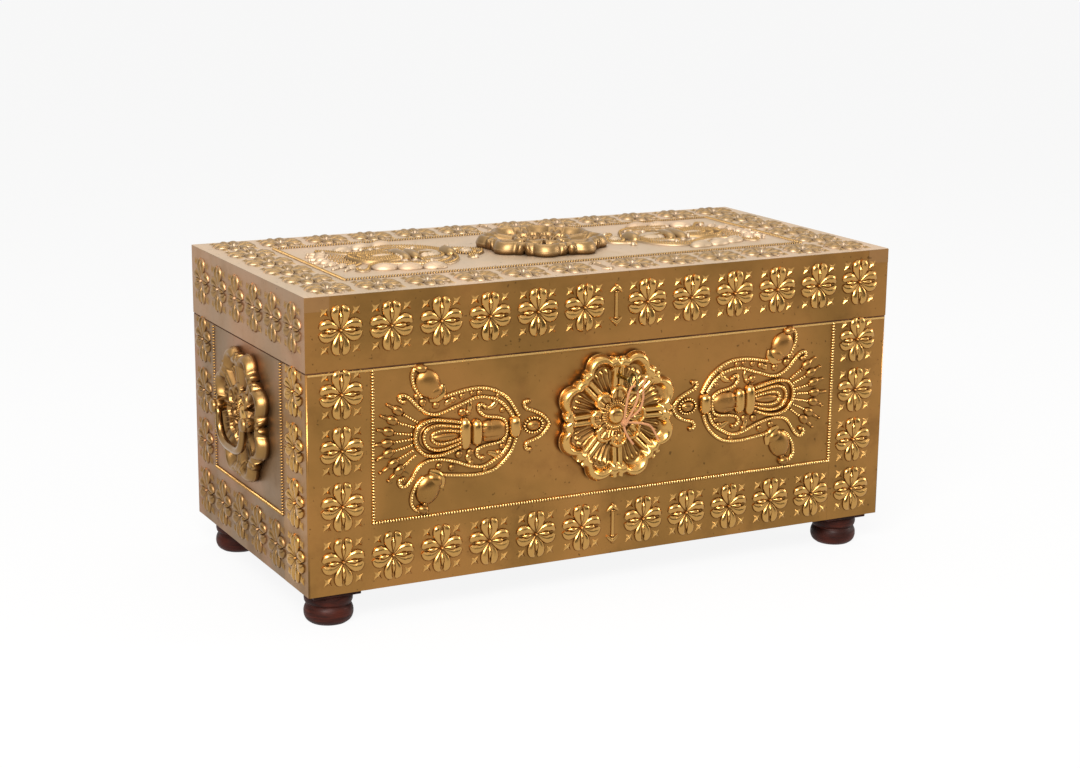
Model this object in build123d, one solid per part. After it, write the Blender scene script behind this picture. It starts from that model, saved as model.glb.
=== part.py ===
"""A brass-clad dowry chest on four turned feet.

The carcass is a wooden box with a hinged wooden lid.  Stamped brass sheets cover it, rosettes and
ornaments stand out of the sheets, and it has bail handles, butt hinges, a chest lock and a key with
a loop of twine.  +Z is up, -Y is the front, and the feet stand on z = 0.
"""
from build123d import *
import math
import os

# ---------------------------------------------------------------------------
# Driving dimensions, in millimetres
# ---------------------------------------------------------------------------
# carcass, over the brass
chest_width = 900.0
chest_depth = 440.0
base_height = 297.0
lid_height = 100.0
lid_gap = 0.3            # between base and closed lid

# wood
base_board = 14.0
floor_board = 12.0
lid_rail = 14.0
lid_board = 12.0

# feet
foot_height = 49.0
foot_plate_side = 67.0
foot_plate_height = 8.0
foot_radius = 33.5
foot_neck_radius = 30.5
foot_base_radius = 26.0
foot_bead_height = 16.0
foot_bead_shrink = 0.7   # upper bead inside the lower one
foot_bead_round = 4.5    # height of the upper bead's lower slope
foot_inset_x = 45.0      # foot centre from the chest's end
foot_inset_y = 45.0

# brass sheets
sheet = 0.8
relief_root = 0.3        # how far a stamped form starts below the sheet's face
frame_inset_x = 89.0     # beaded frame from the chest's end
frame_inset_y = 86.0     # beaded frame from the chest's front and back
bottom_strip_height = 88.0
bead_width = 4.0
bead_height = 2.2

# stamped tiles
tile_width = 52.0
tile_height = 58.0
tile_relief = 4.0
tile_petal_width = 20.0
tile_notch = 6.5         # inner corners between petals, across and up
tile_end_inset_x = 48.7  # centre of the end tile from the chest's end
tile_end_inset_y = 43.0
tile_bottom = 43.0       # centre of the bottom tiles above the base's lower edge
tile_rim_gap = 1.0       # top tiles below the base's upper edge
tile_lid_rise = 54.0     # centre of the lid's tiles above its lower edge
tiles_per_half_row = 6
tiles_per_side = 6
tiles_per_column = 4
separator_gap = 27.0     # room for the arrow between the two halves of a long row
arrow_width = 12.0
arrow_length = 16.0
arrow_shaft = 3.0

# rosettes
rosette_drop = 99.0      # rosette centre below the base's rim
rosette_petals = 8
rosette_sheet = 1.2
large_petal = [(28, 9.5), (80, 31), (95, 26), (92, 14), (101, 8)]     # upper half of the outline
large_petal_depth = 6.0
large_petal_tilt = 11.0
petal_foot_scale = 0.86  # a petal's underside against its rim
small_petal = (48, 12)   # outer corners of a small petal, along and across it
small_petal_notch = 39.0
small_petal_rise = 9.0
small_petal_foot_scale = 0.72
dish_rim = 36.0          # the small petals' hollow
dish_floor = 25.0
petal_rim_scale = 0.91   # the hollow's mouth against the rim
petal_floor_scale = 0.66
stud_sides = 16
stud_collar_radius = 20.0
stud_collar_height = 4.5
stud_dome_radius = 13.0
stud_dome_height = 5.0
nail_side = 4.0          # square nail under the stud
nail_length = 11.0

# ornaments on either side of the front and the lid rosette, drawn outwards from the rosette's edge
ornament_start = 94.0    # from the rosette's middle
ornament_crown = 0.66    # a form's top against its foot
ornament_aside = 4.5     # the front pair sits this far to the left
lid_ornament_spread = 1.35   # the lid's pair is this much wider than the front's
boss_height = 7.5
boss_outline = [(11, 0), (15.5, 8), (26.5, 11.5), (37.5, 8), (42, 0)]          # upper halves
collar_outline = [(47, 14), (62.5, 14)]
bell_outline = [(66.5, 7), (73, 14.5), (103.5, 14.5)]
rings = [(112, 0, 7.4, 18.0), (128.5, 0, 8.0, 21.5)]                           # along, up, half sizes
arch_outline = [(138, 19), (160, 23.5), (184, 24.5), (197, 18), (202.5, 6)]
inner_arch_outline = [(138, 10), (165, 13), (180, 11), (187, 3)]
arch_crown = 0.86
body_height = 8.5
arch_height = 5.0
inner_arch_height = 8.0
bud_centre = 160.0       # the buds fan out from this place on the middle line
bud_count = 7
bud_spread = 65.0        # degrees between the first and the last
bud_outline = [(44, 1.4), (79, 5.6), (100, 0)]                                 # upper half
bud_height = 5.0
bird_outline = [(165, 68), (172, 56), (186, 54), (199, 65), (205, 79), (203, 93), (190, 97), (173, 84)]
bird_height = 8.0
lyre = [(49.5, 16), (58, 31), (69, 44), (87, 55), (105, 59), (122, 58.5), (140, 56), (157, 52)]
lyre_width = 5.0
lyre_height = 4.0
pods = [(117, 93), (151, 87), (184, 76)]                                       # on the lid only
pod_half_along = 17.0
pod_half_up = 11.0

# bail handles
eye_spacing = 120.0
eye_reach = 24.0         # pivot axis out from the brass
eye_ring_radius = 8.5
eye_ring_sides = 12
eye_ring_length = 11.0
eye_post_radius = 6.5
eye_post_sides = 8
eye_spike_side = 7.0
bail_radius = 4.0
bail_sides = 8
bail_drop = 46.0         # pivot axis to the middle of the grip
bail_leg_inset = 11.0    # middle of a leg inside the middle of its eye
bail_corner = 20.0       # cut off each lower corner of the U
bail_tip = 9.0           # end of the pin beyond the middle of the eye
bail_knob_radius = 5.5
bail_knob_length = 4.0

# hinges
hinge_offset = 240.0     # hinge middle from the chest's middle
hinge_length = 60.0
hinge_knuckles = 3
leaf_thickness = 1.5
leaf_depth = 12.0        # of the leaf that lies on the wood
knuckle_radius = 3.5
knuckle_sides = 12
hinge_pin_radius = 1.5
hinge_pin_inset = 10.0   # end of the pin inside the outer knuckles

# lock
key_drop = 42.0          # key axis below the base's rim
lock_width = 60.0
lock_height = 62.0
lock_wall = 1.2
lock_skin = 4.8          # wood left in front of the lock case
lock_plate_margin = 4.0
lock_plate = 1.5
bolt_thickness = 3.0
bolt_throw = 9.0
bolt_left = 19.0
bolt_right = 15.0
bolt_foot = 14.0         # below the key axis
bolt_shoulder = 14.5     # below the rim
window_bottom = 5.5      # below the key axis
window_top = 8.0
talon_left = 1.6
talon_right = 3.9
talon_depth = 10.8
staple_places = (-12.0, 18.0)
staple_thickness = 2.0
staple_depth = 12.0      # below the rim
staple_cheek = 1.8       # of the staple in front of the bolt, and behind it
finger_height = 4.0
finger_drop = 10.0       # lower edge below the rim
finger_rest_gap = 1.5
hook_width = 4.0
strike_thickness = 1.5

# key
key_shank_radius = 3.0
key_bit_reach = 10.0
key_bit_thickness = 2.5
key_bit_length = 5.0
key_reach = 41.0         # shank in front of the brass
key_collar_radius = 4.5
key_collar_length = 4.0
bow_height = 28.0
bow_width = 22.0
bow_rim = 5.0
bow_thickness = 4.0
bow_sides = 12

# twine
twine_radius = 1.6       # of a round cord with the same section as the square tube
twine_sides = 4
twine_knot_radius = 4.6
twine_knot_half = 3.6

# clearances
running_gap = 0.05       # a shaft in its hole
slip_gap = 0.3           # a loose piece beside its seat

# ---------------------------------------------------------------------------
# Places worked out from them
# ---------------------------------------------------------------------------
half_width = chest_width / 2
half_depth = chest_depth / 2
wood_half_width = half_width - sheet
wood_half_depth = half_depth - sheet
base_bottom = foot_height
rim = base_bottom + base_height
lid_bottom = rim + lid_gap
lid_top = rim + lid_height
wood_top = lid_top - sheet
rosette_z = rim - rosette_drop
key_z = rim - key_drop
lid_tile_z = lid_bottom + tile_lid_rise
bottom_tile_z = base_bottom + tile_bottom
column_pitch = (base_height - tile_bottom - tile_height / 2 - tile_rim_gap) / (tiles_per_column - 1)
row_pitch = (half_width - tile_end_inset_x - separator_gap / 2) / (tiles_per_half_row - 0.5)
side_pitch = (chest_depth - 2 * tile_end_inset_y) / (tiles_per_side - 1)
hinge_y = half_depth + slip_gap + knuckle_radius
hinge_z = rim + lid_gap / 2
key_front = -half_depth - key_reach
bow_y = key_front - bow_width / 2
front_reach = key_reach + bow_width
back_reach = slip_gap + 2 * knuckle_radius
carcass_shift = (front_reach - back_reach) / 2   # puts the origin under the middle of the whole

# a local frame on each face: x to the viewer's right, y up, z outward, at the height of the floor
front_face = Plane(origin=(0, -half_depth, 0), x_dir=(1, 0, 0), z_dir=(0, -1, 0))
back_face = Plane(origin=(0, half_depth, 0), x_dir=(-1, 0, 0), z_dir=(0, 1, 0))
left_face = Plane(origin=(-half_width, 0, 0), x_dir=(0, -1, 0), z_dir=(-1, 0, 0))
right_face = Plane(origin=(half_width, 0, 0), x_dir=(0, 1, 0), z_dir=(1, 0, 0))
top_face = Plane(origin=(0, 0, lid_top), x_dir=(1, 0, 0), z_dir=(0, 0, 1))

parts = {}


def block(low, high):
    """A box between two corners."""
    size = [b - a for a, b in zip(low, high)]
    middle = [(a + b) / 2 for a, b in zip(low, high)]
    return Pos(*middle) * Box(*size)


def cylinder_along_y(radius, y0, y1, x=0.0, z=0.0):
    """A cylinder between two depths."""
    return Pos(x, (y0 + y1) / 2, z) * Rot(90, 0, 0) * Cylinder(radius, y1 - y0)


# ---------------------------------------------------------------------------
# Wooden carcass
# ---------------------------------------------------------------------------
def keyhole(face_y, depth, margin=0.0):
    """The cut that the key's shank and bit pass through, from face_y inwards."""
    low, high = face_y, face_y + depth
    round_hole = cylinder_along_y(key_shank_radius + slip_gap + margin, low, high, 0, key_z)
    half = key_bit_thickness / 2 + slip_gap + margin
    slot = block((-half, low, key_z - key_bit_reach - slip_gap - margin), (half, high, key_z))
    return round_hole + slot


def square_hole(side, place, depth):
    """A square hole driven inwards through a face at a place on it."""
    width = side + 2 * running_gap
    return Pos(*place, -depth / 2) * Box(width, width, depth)


def nail_hole(v):
    """The hole for a rosette's nail, up the middle of a face."""
    return square_hole(nail_side, (0, v), nail_length)


def spike_holes():
    """The holes for the spikes of a handle's two eyes, right through a side."""
    return [square_hole(eye_spike_side, (u, rosette_z), sheet + base_board)
            for u in (-eye_spacing / 2, eye_spacing / 2)]


def hinge_seats(z0, z1):
    """The two recesses for hinge leaves in an edge of the back."""
    seats = []
    for side in (-1, 1):
        x = side * hinge_offset
        half = hinge_length / 2 + slip_gap
        seats.append(block((x - half, wood_half_depth - leaf_depth - slip_gap, z0),
                           (x + half, half_depth + slip_gap, z1)))
    return seats


def base_front_board():
    board = block((-wood_half_width, -wood_half_depth, base_bottom),
                  (wood_half_width, -wood_half_depth + base_board, rim))
    half = lock_width / 2
    pocket = block((-half, -wood_half_depth + lock_skin, rim - lock_height),
                   (half, -wood_half_depth + base_board, rim))
    return board - pocket - keyhole(-wood_half_depth, lock_skin) - front_face * nail_hole(rosette_z)


def base_back_board():
    board = block((-wood_half_width, wood_half_depth - base_board, base_bottom),
                  (wood_half_width, wood_half_depth, rim))
    return board - hinge_seats(rim - leaf_thickness, rim)


def base_side_board(side):
    inner, outer = wood_half_width - base_board, wood_half_width
    y = wood_half_depth - base_board
    low, high = sorted((side * inner, side * outer))
    face = left_face if side < 0 else right_face
    board = block((low, -y, base_bottom), (high, y, rim)) - face * nail_hole(rosette_z)
    return board - [face * hole for hole in spike_holes()]


def base_floor_board():
    x, y = wood_half_width - base_board, wood_half_depth - base_board
    return block((-x, -y, base_bottom), (x, y, base_bottom + floor_board))


def lid_front_rail():
    rail = block((-wood_half_width, -wood_half_depth, lid_bottom),
                 (wood_half_width, -wood_half_depth + lid_rail, wood_top - lid_board))
    return rail - strike_plate()


def lid_back_rail():
    rail = block((-wood_half_width, wood_half_depth - lid_rail, lid_bottom),
                 (wood_half_width, wood_half_depth, wood_top - lid_board))
    return rail - hinge_seats(lid_bottom, lid_bottom + leaf_thickness)


def lid_side_rail(side):
    inner, outer = wood_half_width - lid_rail, wood_half_width
    y = wood_half_depth - lid_rail
    low, high = sorted((side * inner, side * outer))
    return block((low, -y, lid_bottom), (high, y, wood_top - lid_board))


def lid_top_board():
    board = block((-wood_half_width, -wood_half_depth, wood_top - lid_board),
                  (wood_half_width, wood_half_depth, wood_top))
    return board - top_face * nail_hole(0)


def foot(x, y):
    """A square plate over two turned beads, the lower one rounded under."""
    plate = block((x - foot_plate_side / 2, y - foot_plate_side / 2, foot_height - foot_plate_height),
                  (x + foot_plate_side / 2, y + foot_plate_side / 2, foot_height))
    top = foot_height - foot_plate_height
    groove = top - foot_bead_height
    upper = foot_radius - foot_bead_shrink
    profile = Polyline((0, 0), (foot_base_radius, 0), (foot_radius, groove * 0.36),
                       (foot_radius, groove * 0.76), (foot_neck_radius, groove),
                       (upper, groove + foot_bead_round), (upper, top), (0, top), close=True)
    return plate + Pos(x, y, 0) * revolve(make_face(Plane.XZ * profile), Axis.Z)


# ---------------------------------------------------------------------------
# Brass sheets with stamped forms
# ---------------------------------------------------------------------------
def sheet_between(face, u0, u1, v0, v1):
    """A flat sheet on a face, between two places across it and two up it."""
    return face * Pos((u0 + u1) / 2, (v0 + v1) / 2, -sheet / 2) * Box(u1 - u0, v1 - v0, sheet)


def pyramid(outline, height):
    """A stamped point: straight slopes from an outline up to its middle."""
    base = Pos(0, 0, -relief_root) * make_face(Polyline(*outline, close=True))
    return loft([base.face(), Vertex(*_middle(outline), height)])


def _middle(outline):
    return (sum(p[0] for p in outline) / len(outline), sum(p[1] for p in outline) / len(outline))


def tile():
    """Four blunt petals that rise to one middle, as a single stamped star."""
    outline = []
    for turn, length in ((0, tile_width / 2), (90, tile_height / 2),
                         (180, tile_width / 2), (270, tile_height / 2)):
        half = tile_petal_width / 2
        petal = [(length, -half), (length, half), (tile_notch, tile_notch)]
        outline += [tuple(Vector(*point).rotate(Axis.Z, turn))[:2] for point in petal]
    return [pyramid(outline, tile_relief)]


def separator():
    """A shaft with an arrowhead at each end, between the halves of a long row."""
    shaft = tile_height - 2 * arrow_length
    forms = [Pos(0, 0, -relief_root) * extrude(Rectangle(arrow_shaft, shaft),
                                              bead_height + relief_root, taper=20)]
    for way in (-1, 1):
        root = way * (tile_height / 2 - arrow_length)
        head = [(-arrow_width / 2, root), (0, way * tile_height / 2), (arrow_width / 2, root)]
        forms.append(pyramid(head if way < 0 else head[::-1], tile_relief))
    return forms


def mass(outline, height, crown=ornament_crown):
    """A stamped form: an outline with one that is drawn in above it."""
    x, y = _middle(outline)
    top = [(x + (u - x) * crown, y + (v - y) * crown) for u, v in outline]
    return tapered(outline, -relief_root, top, height)


def both_halves(upper):
    """A closed outline from its upper half, the lower half mirrored."""
    return upper + [(u, -v) for u, v in reversed(upper) if v > 0]


def oval(u, v, half_along, half_up):
    """An oval of eight straight sides."""
    turns = [2 * math.pi * (i + 0.5) / 8 for i in range(8)]
    return [(u + half_along * math.cos(t), v + half_up * math.sin(t)) for t in turns]


def band(points, width):
    """The outline of a strip of even width along a line."""
    sides = []
    for side in (1, -1):
        for i, point in enumerate(points):
            before = Vector(*points[max(i, 1)]) - Vector(*points[max(i, 1) - 1])
            after = Vector(*points[min(i + 1, len(points) - 1)]) - Vector(*points[min(i, len(points) - 2)])
            across = [Vector(-d.Y, d.X).normalized() for d in (before, after)]
            mitre = (across[0] + across[1]).normalized()
            reach = side * width / 2 / mitre.dot(across[0])
            sides.append((point[0] + reach * mitre.X, point[1] + reach * mitre.Y))
    return sides[:len(points)] + sides[:len(points) - 1:-1]


def ornament(spread, with_birds):
    """The ornament on one side, outwards along +X from the rosette's middle."""
    def wide(points):
        return [(u, v * spread) for u, v in points]

    bodies = [(boss_outline, boss_height, ornament_crown), (collar_outline, body_height, ornament_crown),
              (bell_outline, body_height, ornament_crown), (arch_outline, arch_height, arch_crown),
              (inner_arch_outline, inner_arch_height, ornament_crown)]
    forms = [mass(both_halves(wide(outline)), height, crown) for outline, height, crown in bodies]
    forms += [mass(oval(u, v, half_along, half_up * spread), body_height)
              for u, v, half_along, half_up in rings]
    for i in range(bud_count):
        turn = bud_spread * (i / (bud_count - 1) - 0.5)
        forms.append(Pos(bud_centre, 0, 0) * Rot(0, 0, turn)
                     * pyramid(both_halves(bud_outline), bud_height))
    for way in (1, -1):
        line = wide([(u, way * v) for u, v in lyre])
        forms.append(tapered(band(line, lyre_width), -relief_root,
                             band(line, lyre_width * ornament_crown), lyre_height))
        if with_birds:
            forms.append(mass([(u, way * v) for u, v in bird_outline], bird_height))
        else:
            forms += [mass(oval(u, way * v, pod_half_along, pod_half_up), bird_height)
                      for u, v in pods]
    return [Pos(ornament_start, 0, 0) * form for form in forms]


def ornaments(face, u, v, *kind):
    """The pair of ornaments on either side of a rosette."""
    right = ornament(*kind)
    left = [mirror(form, about=Plane.YZ) for form in right]
    return [face * Pos(u, v, 0) * form for form in right + left]


def stamped(face, places, form):
    """Copies of a stamped form at places on a face."""
    return [face * Pos(u, v, 0) * piece for u, v in places for piece in form]


def bead_bar(face, u0, v0, u1, v1):
    """A straight stretch of the beaded frame, as a tapered bar."""
    length = math.hypot(u1 - u0, v1 - v0)
    turn = math.degrees(math.atan2(v1 - v0, u1 - u0))
    bar = extrude(Rectangle(length + bead_width, bead_width), bead_height + relief_root, taper=25)
    return face * Pos((u0 + u1) / 2, (v0 + v1) / 2, -relief_root) * Rot(0, 0, turn) * bar


tile_form = tile()
separator_form = separator()
row_places = [side * (half_width - tile_end_inset_x - i * row_pitch)
              for side in (-1, 1) for i in range(tiles_per_half_row)]
side_places = [-half_depth + tile_end_inset_y + i * side_pitch for i in range(tiles_per_side)]
column_places = [bottom_tile_z + i * column_pitch for i in range(tiles_per_column)]
inner_row = [u for u in row_places if abs(u) < half_width - frame_inset_x]
inner_side = side_places[1:-1]


def corner_sheet(long_face, long_side, short_face, short_side):
    """A sheet folded round a vertical edge, with a column of tiles on each leg."""
    legs = None
    for face, side, half, inset, tile_inset in (
            (long_face, long_side, half_width, frame_inset_x, tile_end_inset_x),
            (short_face, short_side, half_depth, frame_inset_y, tile_end_inset_y)):
        u0, u1 = sorted((side * (half - inset), side * half))
        leg = sheet_between(face, u0, u1, base_bottom, rim)
        places = [(side * (half - tile_inset), z) for z in column_places]
        leg = leg + stamped(face, places, tile_form)
        legs = leg if legs is None else legs + leg
    return legs


def bottom_strip(face, half, inset, places, with_arrow):
    """The strip under a centre sheet, with its row of tiles."""
    strip = sheet_between(face, -half + inset, half - inset, base_bottom,
                          base_bottom + bottom_strip_height)
    forms = stamped(face, [(u, bottom_tile_z) for u in places], tile_form)
    if with_arrow:
        forms += stamped(face, [(0, bottom_tile_z)], separator_form)
    return strip + forms


def beaded_frame(face, half, low, high, top_too):
    """The beaded frame just inside a centre sheet's edge."""
    u = half - bead_width / 2 - 0.5
    v0 = low + bead_width / 2 + 0.5
    bars = [bead_bar(face, -u, v0, u, v0)]
    v1 = high - bead_width / 2 - 0.5
    for side in (-1, 1):
        bars.append(bead_bar(face, side * u, v0, side * u, v1))
    if top_too:
        bars.append(bead_bar(face, -u, v1, u, v1))
    return bars


def centre_sheet(face, half, inset):
    """The plain field of a base side inside its beaded frame, open at the rim."""
    u, low = half - inset, base_bottom + bottom_strip_height
    field = sheet_between(face, -u, u, low, rim)
    return field + beaded_frame(face, u, low, rim, False)


def front_centre_sheet():
    field = centre_sheet(front_face, half_width, frame_inset_x)
    field += ornaments(front_face, -ornament_aside, rosette_z, 1.0, True)
    return field - keyhole(-half_depth - 1, 1 + sheet) - front_face * nail_hole(rosette_z)


def back_centre_sheet():
    field = centre_sheet(back_face, half_width, frame_inset_x)
    return field - hinge_seats(rim - leaf_thickness, rim)


def side_centre_sheet(face):
    field = centre_sheet(face, half_depth, frame_inset_y)
    return field - face * nail_hole(rosette_z) - [face * hole for hole in spike_holes()]


def lid_strip(face, half, places, with_arrow):
    """The strip round a side of the lid, with its row of tiles."""
    strip = sheet_between(face, -half, half, lid_bottom, wood_top)
    forms = stamped(face, [(u, lid_tile_z) for u in places], tile_form)
    if with_arrow:
        forms += stamped(face, [(0, lid_tile_z)], separator_form)
    return strip + forms


def lid_top_long_strip(side):
    v0, v1 = sorted((side * (half_depth - frame_inset_y), side * half_depth))
    strip = sheet_between(top_face, -half_width, half_width, v0, v1)
    v = side * (half_depth - tile_end_inset_y)
    forms = stamped(top_face, [(u, v) for u in row_places], tile_form)
    forms += stamped(top_face, [(0, v)], separator_form)
    return strip + forms


def lid_top_end_strip(side):
    u0, u1 = sorted((side * (half_width - frame_inset_x), side * half_width))
    v = half_depth - frame_inset_y
    strip = sheet_between(top_face, u0, u1, -v, v)
    u = side * (half_width - tile_end_inset_x)
    turned = [Rot(0, 0, 90) * petal for petal in tile_form]
    return strip + stamped(top_face, [(u, y) for y in inner_side], turned)


def lid_top_centre_sheet():
    u, v = half_width - frame_inset_x, half_depth - frame_inset_y
    field = sheet_between(top_face, -u, u, -v, v)
    field += beaded_frame(top_face, u, -v, v, True)
    field += ornaments(top_face, 0, 0, lid_ornament_spread, False)
    return field - top_face * nail_hole(0)


# ---------------------------------------------------------------------------
# Rosettes and their studs
# ---------------------------------------------------------------------------
def polygon(points, z):
    """A closed outline at a height."""
    return Pos(0, 0, z) * make_face(Polyline(*points, close=True))


def scaled(points, middle, factor):
    """An outline shrunk towards a point on the petal's axis."""
    return [(middle + (x - middle) * factor, y * factor) for x, y in points]


def tapered(low_outline, low, high_outline, high):
    """A solid between two outlines of one shape, with a flat face along each side."""
    form = loft([polygon(low_outline, low), polygon(high_outline, high)], ruled=True)
    return Solid(Shell([Face(face.outer_wire()) for face in form.faces()]))


def petal():
    """A shallow tray with three lobes, hinged up from its root."""
    rim_line = large_petal + [(x, -y) for x, y in reversed(large_petal)]
    root = large_petal[0][0]
    middle = (root + large_petal[-1][0]) / 2
    tray = tapered(scaled(rim_line, root, petal_foot_scale), 0, rim_line, large_petal_depth)
    hollow = tapered(scaled(rim_line, middle, petal_floor_scale), rosette_sheet,
                     scaled(rim_line, middle, petal_rim_scale), large_petal_depth)
    return Pos(root, 0, 0) * Rot(0, -large_petal_tilt, 0) * Pos(-root, 0, 0) * (tray - hollow)


def small_petals():
    """A ring of eight small petals, flared outwards, with one dish inside them."""
    step = 360 / rosette_petals
    notch = (small_petal_notch * math.cos(math.radians(step / 2)),
             small_petal_notch * math.sin(math.radians(step / 2)))
    along, across = small_petal
    rim_line = [tuple(Vector(*point).rotate(Axis.Z, i * step))[:2]
                for i in range(rosette_petals)
                for point in ((along, -across), (along, across), notch)]
    ring = tapered(scaled(rim_line, 0, small_petal_foot_scale), 0, rim_line, small_petal_rise)
    mouth = [tuple(Vector(dish_rim, 0).rotate(Axis.Z, i * step))[:2]
             for i in range(rosette_petals)]
    return ring - tapered(scaled(mouth, 0, dish_floor / dish_rim), rosette_sheet,
                          mouth, small_petal_rise)


def rosette():
    """Eight large petals of three lobes, and a ring of small petals over the joints between them."""
    turns = [Rot(0, 0, (i + 0.5) * 360 / rosette_petals) for i in range(rosette_petals)]
    form = small_petals() + [turn * petal() for turn in turns]
    return form - Box(nail_side + 2 * running_gap, nail_side + 2 * running_gap, 4 * rosette_sheet)


def stud():
    """A domed stud with a collar on a square nail through the rosette into the wood."""
    collar = Pos(0, 0, rosette_sheet) * extrude(RegularPolygon(stud_collar_radius, stud_sides),
                                                stud_collar_height, taper=20)
    dome = Pos(0, 0, rosette_sheet + stud_collar_height) * extrude(
        RegularPolygon(stud_dome_radius, stud_sides), stud_dome_height, taper=45)
    nail = Pos(0, 0, (rosette_sheet - nail_length) / 2) * Box(
        nail_side, nail_side, nail_length + rosette_sheet)
    return collar + dome + nail


rosette_form = rosette()
stud_form = stud()


def front_rosette():
    return front_face * Pos(0, rosette_z, 0) * rosette_form - keyhole(
        -half_depth - key_reach, key_reach, 1.0)


def side_rosette(face):
    """The rosette under a handle, pierced for its two eye posts."""
    form = rosette_form
    for u in (-eye_spacing / 2, eye_spacing / 2):
        form = form - Pos(u, 0, 0) * extrude(
            RegularPolygon(eye_post_radius + slip_gap, eye_post_sides), eye_reach)
    return face * Pos(0, rosette_z, 0) * form


# ---------------------------------------------------------------------------
# Bail handles
# ---------------------------------------------------------------------------
def eye_post():
    """An eight-sided post on a square spike, with a ring across its end for the bail."""
    spike = sheet + base_board
    body = extrude(RegularPolygon(eye_post_radius, eye_post_sides), eye_reach)
    body += Pos(0, 0, -spike / 2) * Box(eye_spike_side, eye_spike_side, spike)
    body += Pos(0, 0, eye_reach) * Rot(0, 90, 0) * extrude(
        RegularPolygon(eye_ring_radius, eye_ring_sides), eye_ring_length / 2, both=True)
    return body - Pos(0, 0, eye_reach) * Rot(0, 90, 0) * Cylinder(
        bail_radius + running_gap, 2 * eye_ring_length)


def bail():
    """A bar bent to a U under two round pins, which pass out through the eyes to knobs."""
    leg = eye_spacing / 2 - bail_leg_inset
    end = eye_spacing / 2 + bail_tip
    cut = bail_corner * 0.45
    half_u = [(-leg, bail_radius), (-leg, bail_corner - bail_drop), (cut - leg, cut - bail_drop),
              (bail_corner - leg, -bail_drop)]
    path = Polyline(*half_u, *[(-x, y) for x, y in reversed(half_u)])
    start = Plane(origin=path @ 0, x_dir=(1, 0, 0), z_dir=path % 0)
    bar = sweep(start * RegularPolygon(bail_radius, bail_sides), path=path,
                transition=Transition.RIGHT)
    for side in (-1, 1):
        pin = Pos(side * (leg + end) / 2, 0, 0) * Rot(0, 90, 0) * Cylinder(bail_radius, end - leg)
        knob = Pos(side * (end + bail_knob_length / 2), 0, 0) * Rot(0, 90, 0) * extrude(
            RegularPolygon(bail_knob_radius, bail_sides), bail_knob_length / 2, both=True)
        bar = bar + pin + knob
    return bar


def handle_on(face):
    """The bail and its two eyes on a face, at the height of the rosette."""
    posts = [face * Pos(u, rosette_z, 0) * eye_post() for u in (-eye_spacing / 2, eye_spacing / 2)]
    return face * Pos(0, rosette_z, eye_reach) * bail(), posts


# ---------------------------------------------------------------------------
# Hinges
# ---------------------------------------------------------------------------
def hinge_leaf(x, first, z0, z1):
    """A leaf on the wood and every other knuckle, counted from first."""
    half, knuckle = hinge_length / 2, hinge_length / hinge_knuckles
    clear = hinge_y - knuckle_radius - slip_gap
    leaf = block((x - half, wood_half_depth - leaf_depth, z0), (x + half, clear, z1))
    for i in range(first, hinge_knuckles, 2):
        low = x - half + i * knuckle + (slip_gap if i else 0)
        high = x - half + (i + 1) * knuckle - (slip_gap if i < hinge_knuckles - 1 else 0)
        leaf += block((low, clear, z0), (high, hinge_y, z1))
        leaf += Pos((low + high) / 2, hinge_y, hinge_z) * Rot(0, 90, 0) * extrude(
            RegularPolygon(knuckle_radius, knuckle_sides), (high - low) / 2, both=True)
    return leaf


def hinge_pin(x, gap):
    """The pin riveted into the base's knuckles, or with a gap the bore round it."""
    return Pos(x, hinge_y, hinge_z) * Rot(0, 90, 0) * Cylinder(
        hinge_pin_radius + gap, hinge_length - 2 * hinge_pin_inset)


# ---------------------------------------------------------------------------
# Lock and key
# ---------------------------------------------------------------------------
case_front = -wood_half_depth + lock_skin
case_back = -wood_half_depth + base_board
bolt_front = case_front + lock_wall + staple_cheek + 2 * slip_gap
bolt_back = bolt_front + bolt_thickness
bolt_middle = (bolt_front + bolt_back) / 2


def staple_slots(z0, z1, gap):
    """The slots that the staples drop through, or with no gap the staples' own outline."""
    half_x = staple_thickness / 2 + gap
    half_y = bolt_thickness / 2 + slip_gap + staple_cheek + gap
    return [block((x - half_x, bolt_middle - half_y, z0), (x + half_x, bolt_middle + half_y, z1))
            for x in staple_places]


def lock_case():
    """A shallow box open to the back, with the staple slots in its top and a keyhole."""
    half = lock_width / 2 - running_gap
    low = rim - lock_height + running_gap
    case = block((-half, case_front, low), (half, case_back, rim))
    case -= block((-half + lock_wall, case_front + lock_wall, low + lock_wall),
                  (half - lock_wall, case_back, rim - lock_wall))
    return case - staple_slots(rim - 2 * lock_wall, rim, slip_gap * 2) - keyhole(
        case_front, lock_wall)


def lock_back_plate():
    """The plate that closes the case from inside the chest, and carries the key's tip."""
    half = lock_width / 2 + lock_plate_margin
    plate = block((-half, case_back, rim - lock_height - lock_plate_margin),
                  (half, case_back + lock_plate, rim - 2 * lock_wall))
    return plate - cylinder_along_y(key_shank_radius + running_gap, case_back,
                                    case_back + lock_plate, 0, key_z)


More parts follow.
